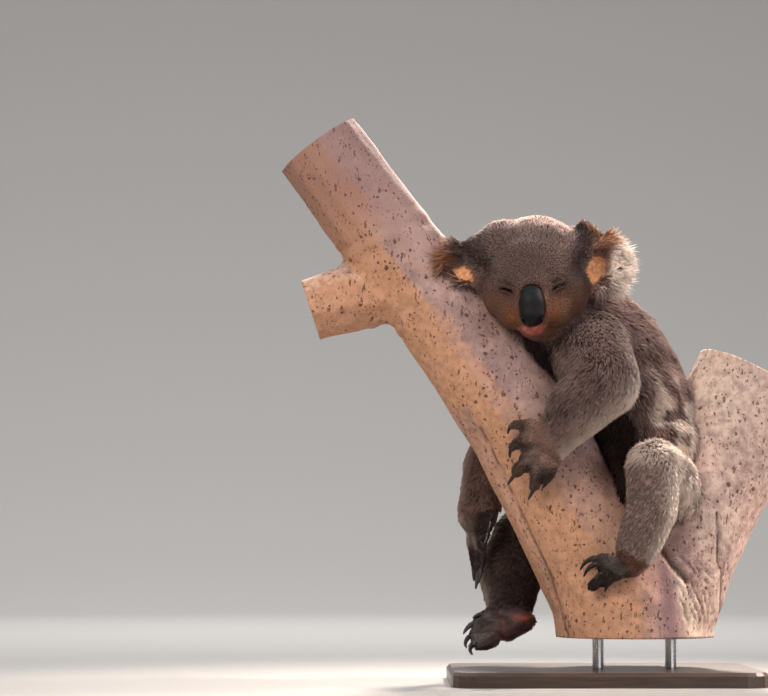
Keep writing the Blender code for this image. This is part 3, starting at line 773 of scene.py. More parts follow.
def unwrapped(skin):
    """Where each corner of the skin's triangles lies on an unwrap of it."""
    alone(skin)
    bpy.ops.object.mode_set(mode="EDIT")
    bpy.ops.mesh.select_all(action="SELECT")
    bpy.ops.uv.smart_project(angle_limit=math.radians(66), island_margin=0.002)
    bpy.ops.object.mode_set(mode="OBJECT")
    layer = skin.data.uv_layers.active
    corners = np.empty(len(layer.uv) * 2, np.float32)
    layer.uv.foreach_get("vector", corners)
    skin.data.uv_layers.remove(layer)
    return corners.reshape(-1, 2).astype(float)


def scattered(skin, corners, density, rng):
    """Roots scattered over the skin: the triangle, the weights of its corners and its place on the unwrap."""
    mesh = skin.data
    mesh.calc_loop_triangles()
    count = len(mesh.loop_triangles)
    triangles, loops = np.empty(count * 3, np.int32), np.empty(count * 3, np.int32)
    areas = np.empty(count, np.float32)
    mesh.loop_triangles.foreach_get("vertices", triangles)
    mesh.loop_triangles.foreach_get("loops", loops)
    mesh.loop_triangles.foreach_get("area", areas)
    triangles, loops = triangles.reshape(-1, 3), loops.reshape(-1, 3)
    wanted = areas * density[triangles].mean(axis=1)
    number = np.floor(wanted + rng.random(count)).astype(int)
    picked = np.repeat(np.arange(count), number)
    first, second = rng.random((2, len(picked)))
    fold = first + second > 1
    first[fold], second[fold] = 1 - first[fold], 1 - second[fold]
    weights = np.stack([1 - first - second, first, second], axis=1)
    places = np.einsum("ij,ijk->ik", weights, corners[loops[picked]])
    return triangles[picked], weights, places


def gathered(roots, middles, tips, spacing, pull):
    """Bends neighbouring tufts towards each other, so that the coat falls in small locks."""
    leaders = np.arange(0, len(roots), spacing)
    tree = KDTree(len(leaders))
    for number, leader in enumerate(leaders):
        tree.insert(Vector(roots[leader]), number)
    tree.balance()
    nearest = np.array([leaders[tree.find(Vector(root))[1]] for root in roots])
    reach = np.linalg.norm(tips - roots, axis=1, keepdims=True)
    leader_reach = reach[nearest]
    shared = roots[nearest] + (tips - roots)[nearest] * reach / np.maximum(leader_reach, 1e-6)
    return middles + (shared - tips) * pull * 0.35, tips + (shared - tips) * pull


def tuft_mesh(name, root, bend, tip, across, over, widths):
    """A mesh of solid tufts. Across and over are the two sides of each one's bend."""
    half = widths[:, None] / 2
    points = np.stack([root,
                       bend - across * half - over * half * 0.30,
                       bend + over * half * 0.75,
                       bend + across * half - over * half * 0.30,
                       tip], axis=1)
    first = np.arange(len(root)) * TUFT_POINTS
    faces = (TUFT_FACES[None] + first[:, None, None]).reshape(-1, 3)
    mesh = bpy.data.meshes.new(name)
    mesh.vertices.add(len(root) * TUFT_POINTS)
    mesh.vertices.foreach_set("co", points.astype(np.float32).ravel())
    mesh.loops.add(faces.size)
    mesh.loops.foreach_set("vertex_index", faces.astype(np.int32).ravel())
    mesh.polygons.add(len(faces))
    mesh.polygons.foreach_set("loop_start", np.arange(0, faces.size, 3, dtype=np.int32))
    mesh.update(calc_edges=True)
    mesh.shade_smooth()
    return mesh


def add_bake_map(mesh, places):
    """The OFBake map: each tuft is a small patch at its root's place on the skin's unwrap."""
    corners = places[:, None] + TUFT_PATCH[TUFT_FACES.ravel()] * BAKE_PATCH
    layer = mesh.uv_layers.new(name="OFBake")
    layer.uv.foreach_set("vector", corners.astype(np.float32).ravel())


def build_coat(skin, labels, edges, marks, bare, settings):
    """The coat's pieces, over the skin."""
    rng = np.random.default_rng(SEED)
    points, normals = points_of(skin.data), normals_of(skin.data)
    local = on_head(points)
    lie = lie_of_coat(points, normals, labels, edges)
    columns = [coat_values(column, labels, local, edges) for column in range(6)]
    beside_bare = spread(bare, edges, 10)
    length = columns[LENGTH] * settings.hair_length * (1 - 0.55 * beside_bare) + ear_lengths(points, labels)
    shut_in = smoothstep(0.016, 0.004, distance_to(["perch_forked_limb"], points, 0.03))
    density = columns[DENSITY] * PER_SQUARE_CM * settings.density * (1 - bare) * (1 - 0.75 * shut_in)
    density *= 1 + (1 / FACE_WIDTH - 1) * face_share(local) * is_one_of(labels, ("head", "jaw"))
    corners = unwrapped(skin)
    triangles, weights, places = scattered(skin, corners, density, rng)

    def at_roots(values):
        return np.einsum("ij,ij...->i...", weights, values[triangles])

    root, normal, way = at_roots(points), unit(at_roots(normals)), unit(at_roots(lie))
    long = at_roots(length) * rng.uniform(1 - SIZE_SPREAD, 1 + SIZE_SPREAD, len(root))
    wide = at_roots(columns[WIDTH]) * rng.uniform(1 - SIZE_SPREAD, 1 + SIZE_SPREAD, len(root))
    side = np.cross(way, normal)
    yaw = rng.normal(0, YAW_SPREAD, len(root))[:, None]
    way = way * np.cos(yaw) + side * np.sin(yaw)
    rise = [np.radians(at_roots(columns[column])) for column in (ROOT_RISE, TIP_RISE)]
    rise[0] = rise[0] + rng.normal(0, RISE_SPREAD, len(root))

    def along_spine(t):
        slope = (rise[0] + (rise[1] - rise[0]) * t)[:, None]
        return way * np.cos(slope) + normal * np.sin(slope)

    sunk = root - normal * wide[:, None] * 0.5
    bend = sunk + along_spine(0.2) * long[:, None] * 0.42
    tip = bend + along_spine(0.8) * long[:, None] * 0.58
    bend, tip = gathered(sunk, bend, tip, LOCK_SPACING, LOCK_PULL)
    nearest = triangles[np.arange(len(root)), weights.argmax(axis=1)]
    own = labels[nearest]
    own_marks = at_roots(marks)
    mottle = at_roots(coat_values(MOTTLE, labels, local, edges)) * settings.mottle
    shade = tone_of(root, own, mottle) + rng.uniform(-SHADE_SPREAD, SHADE_SPREAD, len(root))
    on_front = at_roots(face_share(local)) > CROWN_EDGE
    on_left = at_roots(local)[:, 0] > 0
    flesh_names = np.array(FLESH)[own]
    for name, nodes in COAT_PIECES.items():
        mine = np.isin(flesh_names, nodes)
        if name.startswith("coat_face"):
            mine &= (on_front | (flesh_names == "jaw")) & (on_left == name.endswith("left"))
        if name == "coat_crown":
            mine &= ~on_front
        if len(TUFT_FACES) * mine.sum() > PIECE_LIMIT:
            raise RuntimeError(f"{name} has {mine.sum()} tufts, which is too many for one piece")
        across = unit(np.cross(tip[mine] - sunk[mine], normal[mine]))
        over = unit(np.cross(across, tip[mine] - sunk[mine]))
        mesh = tuft_mesh(name, sunk[mine], bend[mine], tip[mine], across, over, wide[mine])
        add_bake_map(mesh, places[mine])
        set_attribute(mesh, "markings_and_painted_light", np.repeat(own_marks[mine], TUFT_POINTS, axis=0), "FLOAT_COLOR")
        set_attribute(mesh, "tone", np.repeat(shade[mine], TUFT_POINTS), "FLOAT")
        set_attribute(mesh, "along", np.tile(TUFT_ALONG, mine.sum()), "FLOAT")
        piece = bpy.data.objects.new(name, mesh)
        bpy.context.scene.collection.objects.link(piece)
        mesh.materials.append(bpy.data.materials["koala_fur"])
        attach(piece, "root")


# Materials.


def node(tree, kind, inputs=(), **settings):
    """Adds a shader node with its settings, and gives its outputs.

    The inputs stand in the order of the node's sockets, or by name or number in a dictionary. Each is a
    value, or another node's output.
    """
    made = tree.nodes.new(f"ShaderNode{kind}")
    for key, value in settings.items():
        setattr(made, key, value)
    for key, value in inputs.items() if isinstance(inputs, dict) else enumerate(inputs):
        if isinstance(value, bpy.types.NodeSocket):
            tree.links.new(value, made.inputs[key])
        else:
            made.inputs[key].default_value = value
    return made.outputs


def new_material(name, surface):
    """A material, its node tree and its Principled shader, which takes its values from a table."""
    material = bpy.data.materials.new(name)
    material.use_nodes = True
    shader = material.node_tree.nodes["Principled BSDF"]
    for key, value in surface.items():
        shader.inputs[key].default_value = value
    return material, material.node_tree, shader


def shaded(colour, factor=1.0):
    """A setting's colour, made lighter or darker, with its alpha."""
    return (*(factor * c for c in colour), 1)


def layered(tree, colour, layers, blend="MIX"):
    """A colour with others laid over it in turn, each by its share."""
    for share, over in layers:
        colour = node(tree, "Mix", {0: share, 6: colour, 7: over}, data_type="RGBA", blend_type=blend)[2]
    return colour


def finish(tree, shader, colour, height=None, strength=0.0, depth=0.0, sunk=False):
    """Gives the shader its colour, and a bump of a depth in metres from a height."""
    tree.links.new(colour, shader.inputs["Base Color"])
    if height is not None:
        bump = node(tree, "Bump", {"Height": height, "Strength": strength, "Distance": depth}, invert=sunk)
        tree.links.new(bump[0], shader.inputs["Normal"])


def fur_colour(tree, settings, along):
    """The coat's colours, which skin and tufts share, from the markings with their painted light and shade,
    the tone and the place along it.
    """
    marks = node(tree, "Attribute", attribute_name="markings_and_painted_light")
    pale, dark, warm = node(tree, "SeparateColor", (marks["Color"],))
    tone = node(tree, "Attribute", attribute_name="tone")["Fac"]
    at_tip = node(tree, "Math", (along, tone), operation="MULTIPLY")[0]
    colour = layered(tree, shaded(settings.underfur),
                     [(tone, shaded(settings.brown)), (at_tip, shaded(settings.tips))])
    # The markings keep some of the coat's light and dark.
    uneven = node(tree, "MapRange", (tone, 0, 1, 0.65, 1.15))[0]
    for share, shade in ((warm, settings.rust), (dark, settings.dark)):
        colour = layered(tree, colour, [(share, layered(tree, shaded(shade), [(1.0, uneven)], "MULTIPLY"))])
    # Roots are darker than tips, partly in the hair's own colour and partly as painted shade deep in the coat,
    # but for the cream hair, which is pale all along.
    light = node(tree, "MapRange", (along, 0, 1, 0.40, 1.10))[0]
    colour = layered(tree, colour, [(1.0, light)], "MULTIPLY")
    return layered(tree, colour, [(pale, shaded(settings.cream))]), marks["Alpha"]


def fur_material(settings):
    """Koala fur, dense and woolly: dull, darker towards its roots partly as painted shade, and a little aglow
    against the light.
    """
    material, tree, shader = new_material("koala_fur", {
        "Roughness": 0.75, "Specular IOR Level": 0.15, "Sheen Weight": 0.05, "Sheen Roughness": 0.45,
        "Subsurface Weight": 0.15, "Subsurface Radius": (1.0, 0.7, 0.5), "Subsurface Scale": 0.003,
    })
    along = node(tree, "Attribute", attribute_name="along")["Fac"]
    finish(tree, shader, fur_colour(tree, settings, along)[0])
    return material


def skin_material(coat, bare):
    """Skin under fur: matt and dark, darkened with painted shade as if under the coat, with bare leathery
    soles and digits, pink lip and tan inner ears.
    """
    material, tree, shader = new_material("koala_skin", {"Roughness": 0.7, "Specular IOR Level": 0.3})
    colour, lip = fur_colour(tree, coat, SKIN_ALONG)
    # Painted shade: the skin under the coat darkened further.
    colour = layered(tree, colour, [(1.0, SKIN_PAINTED_SHADE)], "MULTIPLY")
    parts = node(tree, "Attribute", attribute_name="bare_parts")
    sole, digit, pad = node(tree, "SeparateColor", (parts["Color"],))
    place = node(tree, "TexCoord")["Object"]
    # Skin grain in cells of 1.2 mm, and soft blotches of 5 mm.
    grain = node(tree, "TexVoronoi", {"Vector": place, "Scale": 1 / 0.0012})["Distance"]
    blotches = node(tree, "TexNoise", {"Vector": place, "Scale": 1 / 0.005, "Detail": 3.0})["Fac"]
    depth = node(tree, "MapRange", (blotches, 0.30, 0.70, 0.62, 1.30))[0]
    for share, shade in ((sole, bare.sole), (digit, bare.digit), (pad, bare.pad),
                         (parts["Alpha"], bare.inner_ear), (lip, bare.lip)):
        colour = layered(tree, colour, [(share, layered(tree, shaded(shade), [(1.0, depth)], "MULTIPLY"))])
    leathery = node(tree, "Math", (sole, digit), operation="MAXIMUM")[0]
    smooth = node(tree, "MapRange", (leathery, 0, 1, 0.74, 0.50))[0]
    tree.links.new(smooth, shader.inputs["Roughness"])
    finish(tree, shader, colour, grain, 0.5, 0.0006)
    return material


def nose_material(bare):
    """A koala's nose, bare pebbled leather: slate black and a little moist, with soft broad highlights."""
    material, tree, shader = new_material("nose_leather", {"Roughness": 0.55, "Specular IOR Level": 0.16})
    place = node(tree, "TexCoord")["Object"]
    low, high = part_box("nose")
    height = node(tree, "SeparateXYZ", (place,))["Z"]
    upper = node(tree, "MapRange", (height, low[2] + 0.010, high[2] - 0.008))[0]
    colour = layered(tree, shaded(bare.nose_low), [(upper, shaded(bare.nose_top))])
    mottle = node(tree, "TexNoise", {"Vector": place, "Scale": 1 / 0.004})["Fac"]
    spots = node(tree, "MapRange", (mottle, 0.3, 0.7, 0.8, 1.2))[0]
    colour = layered(tree, colour, [(1.0, spots)], "MULTIPLY")
    # The leather's pebbles are about 0.9 mm across.
    pebbles = node(tree, "TexVoronoi", {"Vector": place, "Scale": 1 / 0.0009})["Distance"]
    finish(tree, shader, colour, pebbles, 0.5, 0.00025, sunk=True)
    return material


def claw_material(bare):
    """Claw horn, grown in fine layers along the claw: near black and smooth, softly polished by climbing."""
    material, tree, shader = new_material("claw_horn", {"Roughness": 0.32})
    place = node(tree, "TexCoord")["Object"]
    streaks = node(tree, "TexNoise", {"Vector": place, "Scale": 1 / 0.0025, "Detail": 3.0})["Fac"]
    colour = layered(tree, shaded(bare.claw, 0.6), [(streaks, shaded(bare.claw, 1.5))])
    finish(tree, shader, colour, streaks, 0.2, 0.0002)
    return material


def eye_material():
    """A wet eye under a clear cornea: dark brown, with a sharp highlight."""
    material, tree, shader = new_material("eye_cornea", {
        "Roughness": 0.15, "IOR": 1.38, "Coat Weight": 0.4, "Coat Roughness": 0.08,
    })
    place = node(tree, "TexCoord")["Object"]
    fibres = node(tree, "TexNoise", {"Vector": place, "Scale": 1 / 0.0015})["Fac"]
    finish(tree, shader, layered(tree, linear("#140b08"), [(fibres, linear("#3a2114"))]))
    return material


def scabs(tree, place, cell, channel, radii, edge, crowd=None):
    """The share of scab at each place, with one scab at most in each cell, whose radius goes by chance.

    The radii map the cell's chance to the scab's radius, in cells, to which the crowd adds. The edge maps
    the depth inside a scab to the share.
    """
    cells = node(tree, "TexVoronoi", {"Vector": place, "Scale": 1 / cell})
    chance = node(tree, "SeparateColor", (cells["Color"],))[channel]
    radius = node(tree, "MapRange", (chance, *radii))[0]
    if crowd is not None:
        radius = node(tree, "Math", (radius, crowd), operation="ADD")[0]
    inside = node(tree, "Math", (radius, cells["Distance"]), operation="SUBTRACT")[0]
    return node(tree, "MapRange", (inside, *edge))[0]


def bark_material(wood):
    """Smooth gum bark, fresh under last year's peeled skin: matt, pinkish cream, speckled with dark scabs."""
    material, tree, shader = new_material("gum_bark", {"Roughness": 0.78, "Specular IOR Level": 0.3})
    place = node(tree, "TexCoord")["Object"]
    marks = node(tree, "Attribute", attribute_name="bark_marks_and_painted_light")
    orange, grey, cream = node(tree, "SeparateColor", (marks["Color"],))
    # Clouds of tone 60 mm across, and mottles of 9 mm, which also make the marks' edges ragged.
    clouds = node(tree, "TexNoise", {"Vector": place, "Scale": 1 / 0.060, "Detail": 4.0})["Fac"]
    mottles = node(tree, "TexNoise", {"Vector": place, "Scale": 1 / 0.009, "Detail": 3.0})["Fac"]
    tone = node(tree, "MapRange", (clouds, 0.38, 0.62))[0]
    colour = layered(tree, shaded(wood.shaded), [(tone, shaded(wood.pink))])
    uneven = node(tree, "Math", (mottles, 0.8, -0.4), operation="MULTIPLY_ADD")[0]
    # The orange, cream and grey shares hold the bark's own colours, painted shade at the top of the upper limb
    # and painted light on upturned faces and the right limb.
    for share, shade in ((orange, wood.orange), (cream, wood.cream), (grey, wood.grey)):
        edge = node(tree, "Math", (share, uneven), operation="ADD")[0]
        ragged = node(tree, "MapRange", (edge, 0.12, 0.78, 0, 0.9))[0]
        colour = layered(tree, colour, [(ragged, shaded(shade))])
    light = node(tree, "MapRange", (mottles, 0.3, 0.7, 0.78, 1.14))[0]
    colour = layered(tree, colour, [(1.0, light)], "MULTIPLY")
    warp = node(tree, "TexNoise", {"Vector": place, "Scale": 1 / 0.004})["Color"]
    shaken = node(tree, "VectorMath", (warp, (0.005, 0.005, 0.005), place), operation="MULTIPLY_ADD")[0]
    # Round scabs 1 to 4 mm across, in cells of 11 mm and of 5 mm.
    crowd = node(tree, "MapRange", (clouds, 0.35, 0.60, 0.06, -0.05))[0]
    large = scabs(tree, shaken, 0.0110, 0, (0.60, 1, -0.04, 0.30), (0, 0.07, 0, 0.85), crowd)
    small = scabs(tree, shaken, 0.0050, 0, (0.55, 1, -0.04, 0.40), (0, 0.07, 0, 0.85), crowd)
    # Longer dashes, three times as long as they are wide, that lie along the limb.
    lengthwise = {"Vector": shaken, "Rotation": (0, LIMB_LEAN, 0), "Scale": (1.0, 1.0, 0.30)}
    along = node(tree, "Mapping", lengthwise)[0]
    dash = scabs(tree, along, 0.0055, 1, (0.30, 1, -0.05, 0.34), (0, 0.06, 0, 0.75))
    # Ragged flecks 1 to 2 mm wide and up to 5 mm long, in drifts 15 mm across.
    fleck = node(tree, "TexNoise", {"Vector": along, "Scale": 1 / 0.0021})["Fac"]
    drifts = node(tree, "TexNoise", {"Vector": place, "Scale": 1 / 0.015})["Fac"]
    limit = node(tree, "MapRange", (drifts, 0.38, 0.62, 0.70, 0.60))[0]
    beyond = node(tree, "Math", (fleck, limit), operation="SUBTRACT")[0]
    flecked = node(tree, "MapRange", (beyond, 0, 0.03, 0, 0.8))[0]
    # Painted shade darkens the folds' furrows, and the cracks are darkest.
    furrow = node(tree, "Attribute", attribute_name="furrow")["Fac"]
    deep = node(tree, "Math", (furrow, 0.80), operation="MULTIPLY")[0]
    scab = shaded(wood.scab)
    colour = layered(tree, colour, [(large, scab), (small, scab), (dash, scab), (flecked, scab),
                                    (marks["Alpha"], shaded(wood.scab, 0.6)), (deep, scab)])
    wrinkles = node(tree, "TexNoise", {"Vector": place, "Scale": 1 / 0.0035, "Detail": 5.0})["Fac"]
    relief = node(tree, "Math", (dash, -0.5, wrinkles), operation="MULTIPLY_ADD")[0]
    finish(tree, shader, colour, relief, 0.55, 0.0010)
    return material


def end_grain_material():
    """Sawn gum wood across the grain: pale red-brown rings about 6 mm wide, with fine saw marks."""
    material, tree, shader = new_material("gum_end_grain", {"Roughness": 0.65})
    radius = node(tree, "Attribute", attribute_name="ring")["Fac"]
    place = node(tree, "TexCoord")["Object"]
    shake = node(tree, "TexNoise", {"Vector": place, "Scale": 1 / 0.030, "Detail": 3.0})["Fac"]
    bent = node(tree, "Math", (shake, 0.012, radius), operation="MULTIPLY_ADD")[0]
    turns = node(tree, "Math", (bent, 2 * math.pi / 0.006), operation="MULTIPLY")[0]
    wave = node(tree, "Math", (turns,), operation="SINE")[0]
    share = node(tree, "MapRange", (wave, -1, 1))[0]
    rings = layered(tree, linear("#7f5b43"), [(share, linear("#967256"))])
    pores = node(tree, "TexNoise", {"Vector": place, "Scale": 1 / 0.0012})["Fac"]
    speck = node(tree, "MapRange", (pores, 0.35, 0.6, 0.75, 1.05))[0]
    finish(tree, shader, layered(tree, rings, [(1.0, speck)], "MULTIPLY"), pores, 0.4, 0.0004)
    return material


def base_material(colour):
    """Dark stained hardwood, planed and oiled: long straight grain under a low satin shine."""
    material, tree, shader = new_material("stained_hardwood", {"Roughness": 0.38, "Coat Weight": 0.15})
    place = node(tree, "TexCoord")["Object"]
    # Grain lines 2 mm apart that run along X for about 60 mm.
    stretched = node(tree, "Mapping", {"Vector": place, "Scale": (0.04, 1.0, 1.0)})[0]
    grain = node(tree, "TexNoise", {"Vector": stretched, "Scale": 1 / 0.0022, "Detail": 4.0})["Fac"]
    tone = node(tree, "MapRange", (grain, 0.3, 0.7))[0]
    shade = layered(tree, shaded(colour, 0.55), [(tone, shaded(colour, 1.5))])
    finish(tree, shader, shade, grain, 0.15, 0.0003)
    return material


def rod_material():
    """Stainless steel rod, ground round: fine turning lines across it and a soft metal shine."""
    material, tree, shader = new_material("ground_steel", {
        "Roughness": 0.3, "Metallic": 1.0, "Base Color": linear("#b9b8b4"),
    })
    place = node(tree, "TexCoord")["Object"]
    lines = node(tree, "Mapping", {"Vector": place, "Scale": (1.0, 1.0, 14.0)})[0]
    marks = node(tree, "TexNoise", {"Vector": lines, "Scale": 1 / 0.007})["Fac"]
    rough = node(tree, "MapRange", (marks, 0.3, 0.7, 0.24, 0.38))[0]
    tree.links.new(rough, shader.inputs["Roughness"])
    return material


def paper_material(colour):
    """Studio paper, rolled from pulp: quite matt, with a faint fibre of 4 mm."""
    material, tree, shader = new_material("studio_paper", {"Roughness": 0.9})
    place = node(tree, "TexCoord")["Object"]
    fibre = node(tree, "TexNoise", {"Vector": place, "Scale": 1 / 0.004})["Fac"]
    finish(tree, shader, layered(tree, shaded(colour, 0.97), [(fibre, shaded(colour))]))
    return material


# The nose, the claws and the eyes.


def build_nose(material):
    """The bare leather shield, with its two nostrils and the groove between them."""
    nose = fused_copy("nose_shield", ["nose"])
    apply_modifier(nose, "REMESH", mode="VOXEL", voxel_size=NOSE_STEP)
    points, edges = points_of(nose.data), edges_of(nose.data)
    set_points(nose.data, spread(points, edges, 60))
    points = points_of(nose.data) + normals_of(nose.data) * NOSE_SWELL
    local = on_head(points)
    x, y, z = local.T
    front = smoothstep(-0.066, -0.072, y)
    push = np.zeros(len(points))
    for side in (-1, 1):
        hole = 1 - ((side * x - 0.0090) / 0.0026) ** 2 - ((z + 0.0512) / 0.0036) ** 2
        push += 0.0045 * smoothstep(-0.4, 0.8, hole)
        curl = 1 - ((side * x - 0.0124) / 0.0034) ** 2 - ((z + 0.0478) / 0.0015) ** 2
        push += 0.0018 * smoothstep(-0.6, 0.8, curl)
    push += 0.0008 * bump_at(x, 0.0, 0.0012) * smoothstep(-0.040, -0.050, z)
    points += off_head(np.tile(HEAD_BACK, (len(points), 1))) * (push * front)[:, None]
    set_points(nose.data, points)
    nose.data.shade_smooth()
    nose.data.materials.append(material)
    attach(nose, "root")
    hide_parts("nose")


def build_claws(material):
    """Each claw, a curved horn point, rounded from its solid."""
    for name in CLAWS:
        claw = fused_copy(f"{name}_horn", [name], swell=CLAW_SWELL)
        apply_modifier(claw, "SUBSURF", levels=2, render_levels=2)
        claw.data.shade_smooth()
        claw.data.materials.append(material)
        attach(claw, "root")
        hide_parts(name)


# The gum limb.


def sawn_planes(mesh):
    """The flat sawn ends of the limb: the middle of each, the way it faces and how far it reaches."""
    flats = {}
    for face in mesh.polygons:
        key = (*(round(c, 2) for c in face.normal), round(face.normal.dot(face.center), 3))
        flats.setdefault(key, []).append(face)
    planes = []
    for faces in flats.values():
        area = sum(face.area for face in faces)
        if len(faces) >= END_FACES and area > END_AREA:
            centre = sum((face.center * face.area for face in faces), Vector()) / area
            reach = max((mesh.vertices[v].co - centre).length for face in faces for v in face.vertices)
            planes.append((centre, faces[0].normal.copy(), reach + END_MARGIN))
    return planes


def without_bores(limb):
    """Takes out the bores that the rods stand in, which the rods fill."""
    bm = bmesh.new()
    bm.from_mesh(limb.data)
    inner = []
    for name in ("stand_rod_1", "stand_rod_2"):
        low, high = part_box(name)
        axis = Vector(middle(name)).xy
        reach = (high[0] - low[0]) * 0.75
        inner += [v for v in bm.verts if (v.co.xy - axis).length < reach and v.co.z > high[2] - 0.005]
    bmesh.ops.delete(bm, geom=inner, context="VERTS")
    bmesh.ops.holes_fill(bm, edges=[e for e in bm.edges if e.is_boundary], sides=0)
    bmesh.ops.triangulate(bm, faces=[f for f in bm.faces if len(f.verts) > 4])
    bm.to_mesh(limb.data)
    bm.free()


def from_path(points, path):
    """How far each point is from a path of (x, z) points, seen along Y, and on which side of it."""
    flat = points[:, [0, 2]]
    nearest = np.full(len(points), 1.0)
    side = np.zeros(len(points))
    for start, end in zip(path, path[1:]):
        start, end = np.array(start), np.array(end)
        along = end - start
        share = np.clip((flat - start) @ along / (along @ along), 0, 1)
        away = flat - start - share[:, None] * along
        gap = np.linalg.norm(away, axis=1)
        closer = gap < nearest
        nearest[closer] = gap[closer]
        side[closer] = np.sign(along[0] * away[:, 1] - along[1] * away[:, 0])[closer]
    return nearest, side


def bark_relief(points, normals):
    """How far the bark stands out, and its marks: orange, grey, cream and crack, with painted light and shade
    among them.
    """
    x, _, z = points.T
    front = smoothstep(0.15, -0.25, normals[:, 1])
    broad = clouds_at(points, 0.075, 1.0)
    small = clouds_at(points, 0.020, 5.0)
    height = 0.0022 * broad + 0.0006 * small
    crack = np.zeros(len(points))

    edge, side = from_path(points, LONG_CRACK)
    edge = edge + 0.0012 * small
    height -= front * 0.0016 * bump_at(edge, 0.0, 0.0022)
    height -= front * 0.0012 * smoothstep(0.016, 0.004, edge) * (side < 0)
    crack += front * 0.85 * bump_at(edge, 0.0, 0.0018) * smoothstep(-0.5, 0.1, small)

    split, _ = from_path(points, SPLIT)
    height -= front * 0.0055 * bump_at(split, 0.0, 0.0034)
    crack += front * bump_at(split, 0.0, 0.0032)

    thin_crack, _ = from_path(points, THIN_CRACK)
    height -= front * 0.0012 * bump_at(thin_crack, 0.0, 0.0018)
    crack += front * 0.9 * bump_at(thin_crack + 0.0006 * small, 0.0, 0.0012)

    collar = np.linalg.norm(points - np.array(BRANCH_COLLAR), axis=1)
    ripple = np.sin((collar + 0.004 * broad) * 2 * math.pi / COLLAR_GAP)
    height += 0.0010 * ripple * bump_at(collar, 0.068, 0.018)

    orange = smoothstep(0.10, 0.85, normals @ unit(np.array((-0.75, -0.30, -0.60))))
    orange = orange + 0.55 * smoothstep(0.40, 0.14, z) * smoothstep(0.09, 0.02, x) * (z > 0)
    orange += 0.8 * smoothstep(-0.22, -0.30, x) * smoothstep(0.53, 0.49, z)
    orange *= 1 - 0.60 * front * (side < 0) * smoothstep(0.045, 0.030, edge)
    # Painted shade at the top of the upper limb.
    orange += 0.22 * smoothstep(0.50, 0.60, z)
    low = smoothstep(0.165, 0.140, z) * front
    wide = 0.010 + 0.12 * np.maximum(0.11 - z, 0)
    grey = 0.70 * low * np.exp(-((x - 0.068 - 0.11 * (0.15 - z)) / wide) ** 2)
    # Painted shade at the top of the upper limb.
    grey += 0.50 * smoothstep(0.46, 0.62, z)
    # Cream bark on the right limb and in a band by the folds, partly the bark's own colour and partly painted
    # light.
    cream = 0.62 * smoothstep(0.085, 0.130, x) * (0.65 + 0.5 * broad)
    cream += 0.70 * low * np.exp(-((x - 0.090 - 0.25 * (0.12 - z)) / 0.010) ** 2)
    # Painted light on the faces that turn up.
    cream += 0.35 * smoothstep(0.3, 0.9, normals[:, 2])
    marks = np.clip(np.stack([orange, grey, cream, crack], axis=1), 0, 1)
    return height, marks


def bark_folds(points, normals):
    """How far the folds under the fork stand out, from -1 to 1, and how deep each point lies in a furrow."""
    x, _, z = points.T
    front = smoothstep(0.15, -0.25, normals[:, 1])
    share = front * np.exp(-((x - 0.108) / 0.022) ** 4 - ((z - 0.115) / 0.042) ** 4)
    drop = z - 0.12
    across = x + 0.586 * drop + 5.9 * drop ** 2
    across += 0.0045 * clouds_at(points, 0.018, 8.0) + 0.0022 * clouds_at(points, 0.008, 13.0)
    fold = np.sin(across * 2 * math.pi / FOLD_GAP)
    broken = smoothstep(-0.60, 0.05, clouds_at(points, 0.010, 12.0))
    return share * broken * fold, share * broken * smoothstep(-0.20, -1.0, fold)


def build_limb(step, bark, end_grain):
    """The forked limb with its bark, sawn off at four ends."""
    planes = sawn_planes(NODES["perch_forked_limb"].data)
    if len(planes) != 4:
        raise RuntimeError(f"the limb should have 4 sawn ends, not {len(planes)}")
    limb = fused_copy("gum_limb", ["perch_forked_limb"])
    without_bores(limb)
    for centre, facing, _ in planes:
        for vert in limb.data.vertices:
            if abs(facing.dot(vert.co - centre)) < 0.0005:
                vert.co += facing * SPARE_END
    apply_modifier(limb, "REMESH", mode="VOXEL", voxel_size=step)
    points, edges = points_of(limb.data), edges_of(limb.data)
    points = softened(points, edges, 40, np.ones(len(points)))
    set_points(limb.data, points)
    height, marks = bark_relief(points, normals_of(limb.data))
    folds, furrow = bark_folds(points, normals_of(limb.data))
    height += FOLD_HEIGHT * folds
    set_points(limb.data, points + normals_of(limb.data) * height[:, None])
    set_attribute(limb.data, "bark_marks_and_painted_light", marks, "FLOAT_COLOR")
    set_attribute(limb.data, "furrow", furrow, "FLOAT")
    limb.data.shade_smooth()
    limb.data.materials.append(bark)
    limb.data.materials.append(end_grain)
    for centre, facing, reach in planes:
        away = np.linalg.norm(points_of(limb.data) - np.array(centre), axis=1)
        select_points(limb, away < reach)
        bpy.ops.mesh.bisect(plane_co=centre, plane_no=facing, use_fill=True, clear_outer=True)
        bpy.ops.object.mode_set(mode="OBJECT")
    finish_ends(limb.data, planes)
    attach(limb, "root")
    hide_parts("perch_forked_limb")


def finish_ends(mesh, planes):
    """Gives each sawn end its ring of bark, its end grain and its distance from the pith."""
    bm = bmesh.new()
    bm.from_mesh(mesh)
    bm.normal_update()
    ring = bm.verts.layers.float.new("ring")
    for centre, facing, reach in planes:
        ends = []
        for face in bm.faces:
            offset = face.calc_center_median() - centre
            in_plane = face.normal.dot(facing) > 0.999 and abs(facing.dot(offset)) < 1e-4
            if in_plane and offset.length < reach:
                ends.append(face)
        bmesh.ops.inset_region(bm, faces=ends, thickness=BARK_THICKNESS, use_even_offset=True)
        for poked in bmesh.ops.poke(bm, faces=ends)["verts"]:
            for face in poked.link_faces:
                face.material_index = 1
                face.smooth = False
                for vert in face.verts:
                    vert[ring] = (vert.co - poked.co).length
    bm.to_mesh(mesh)
    bm.free()


# The stage.


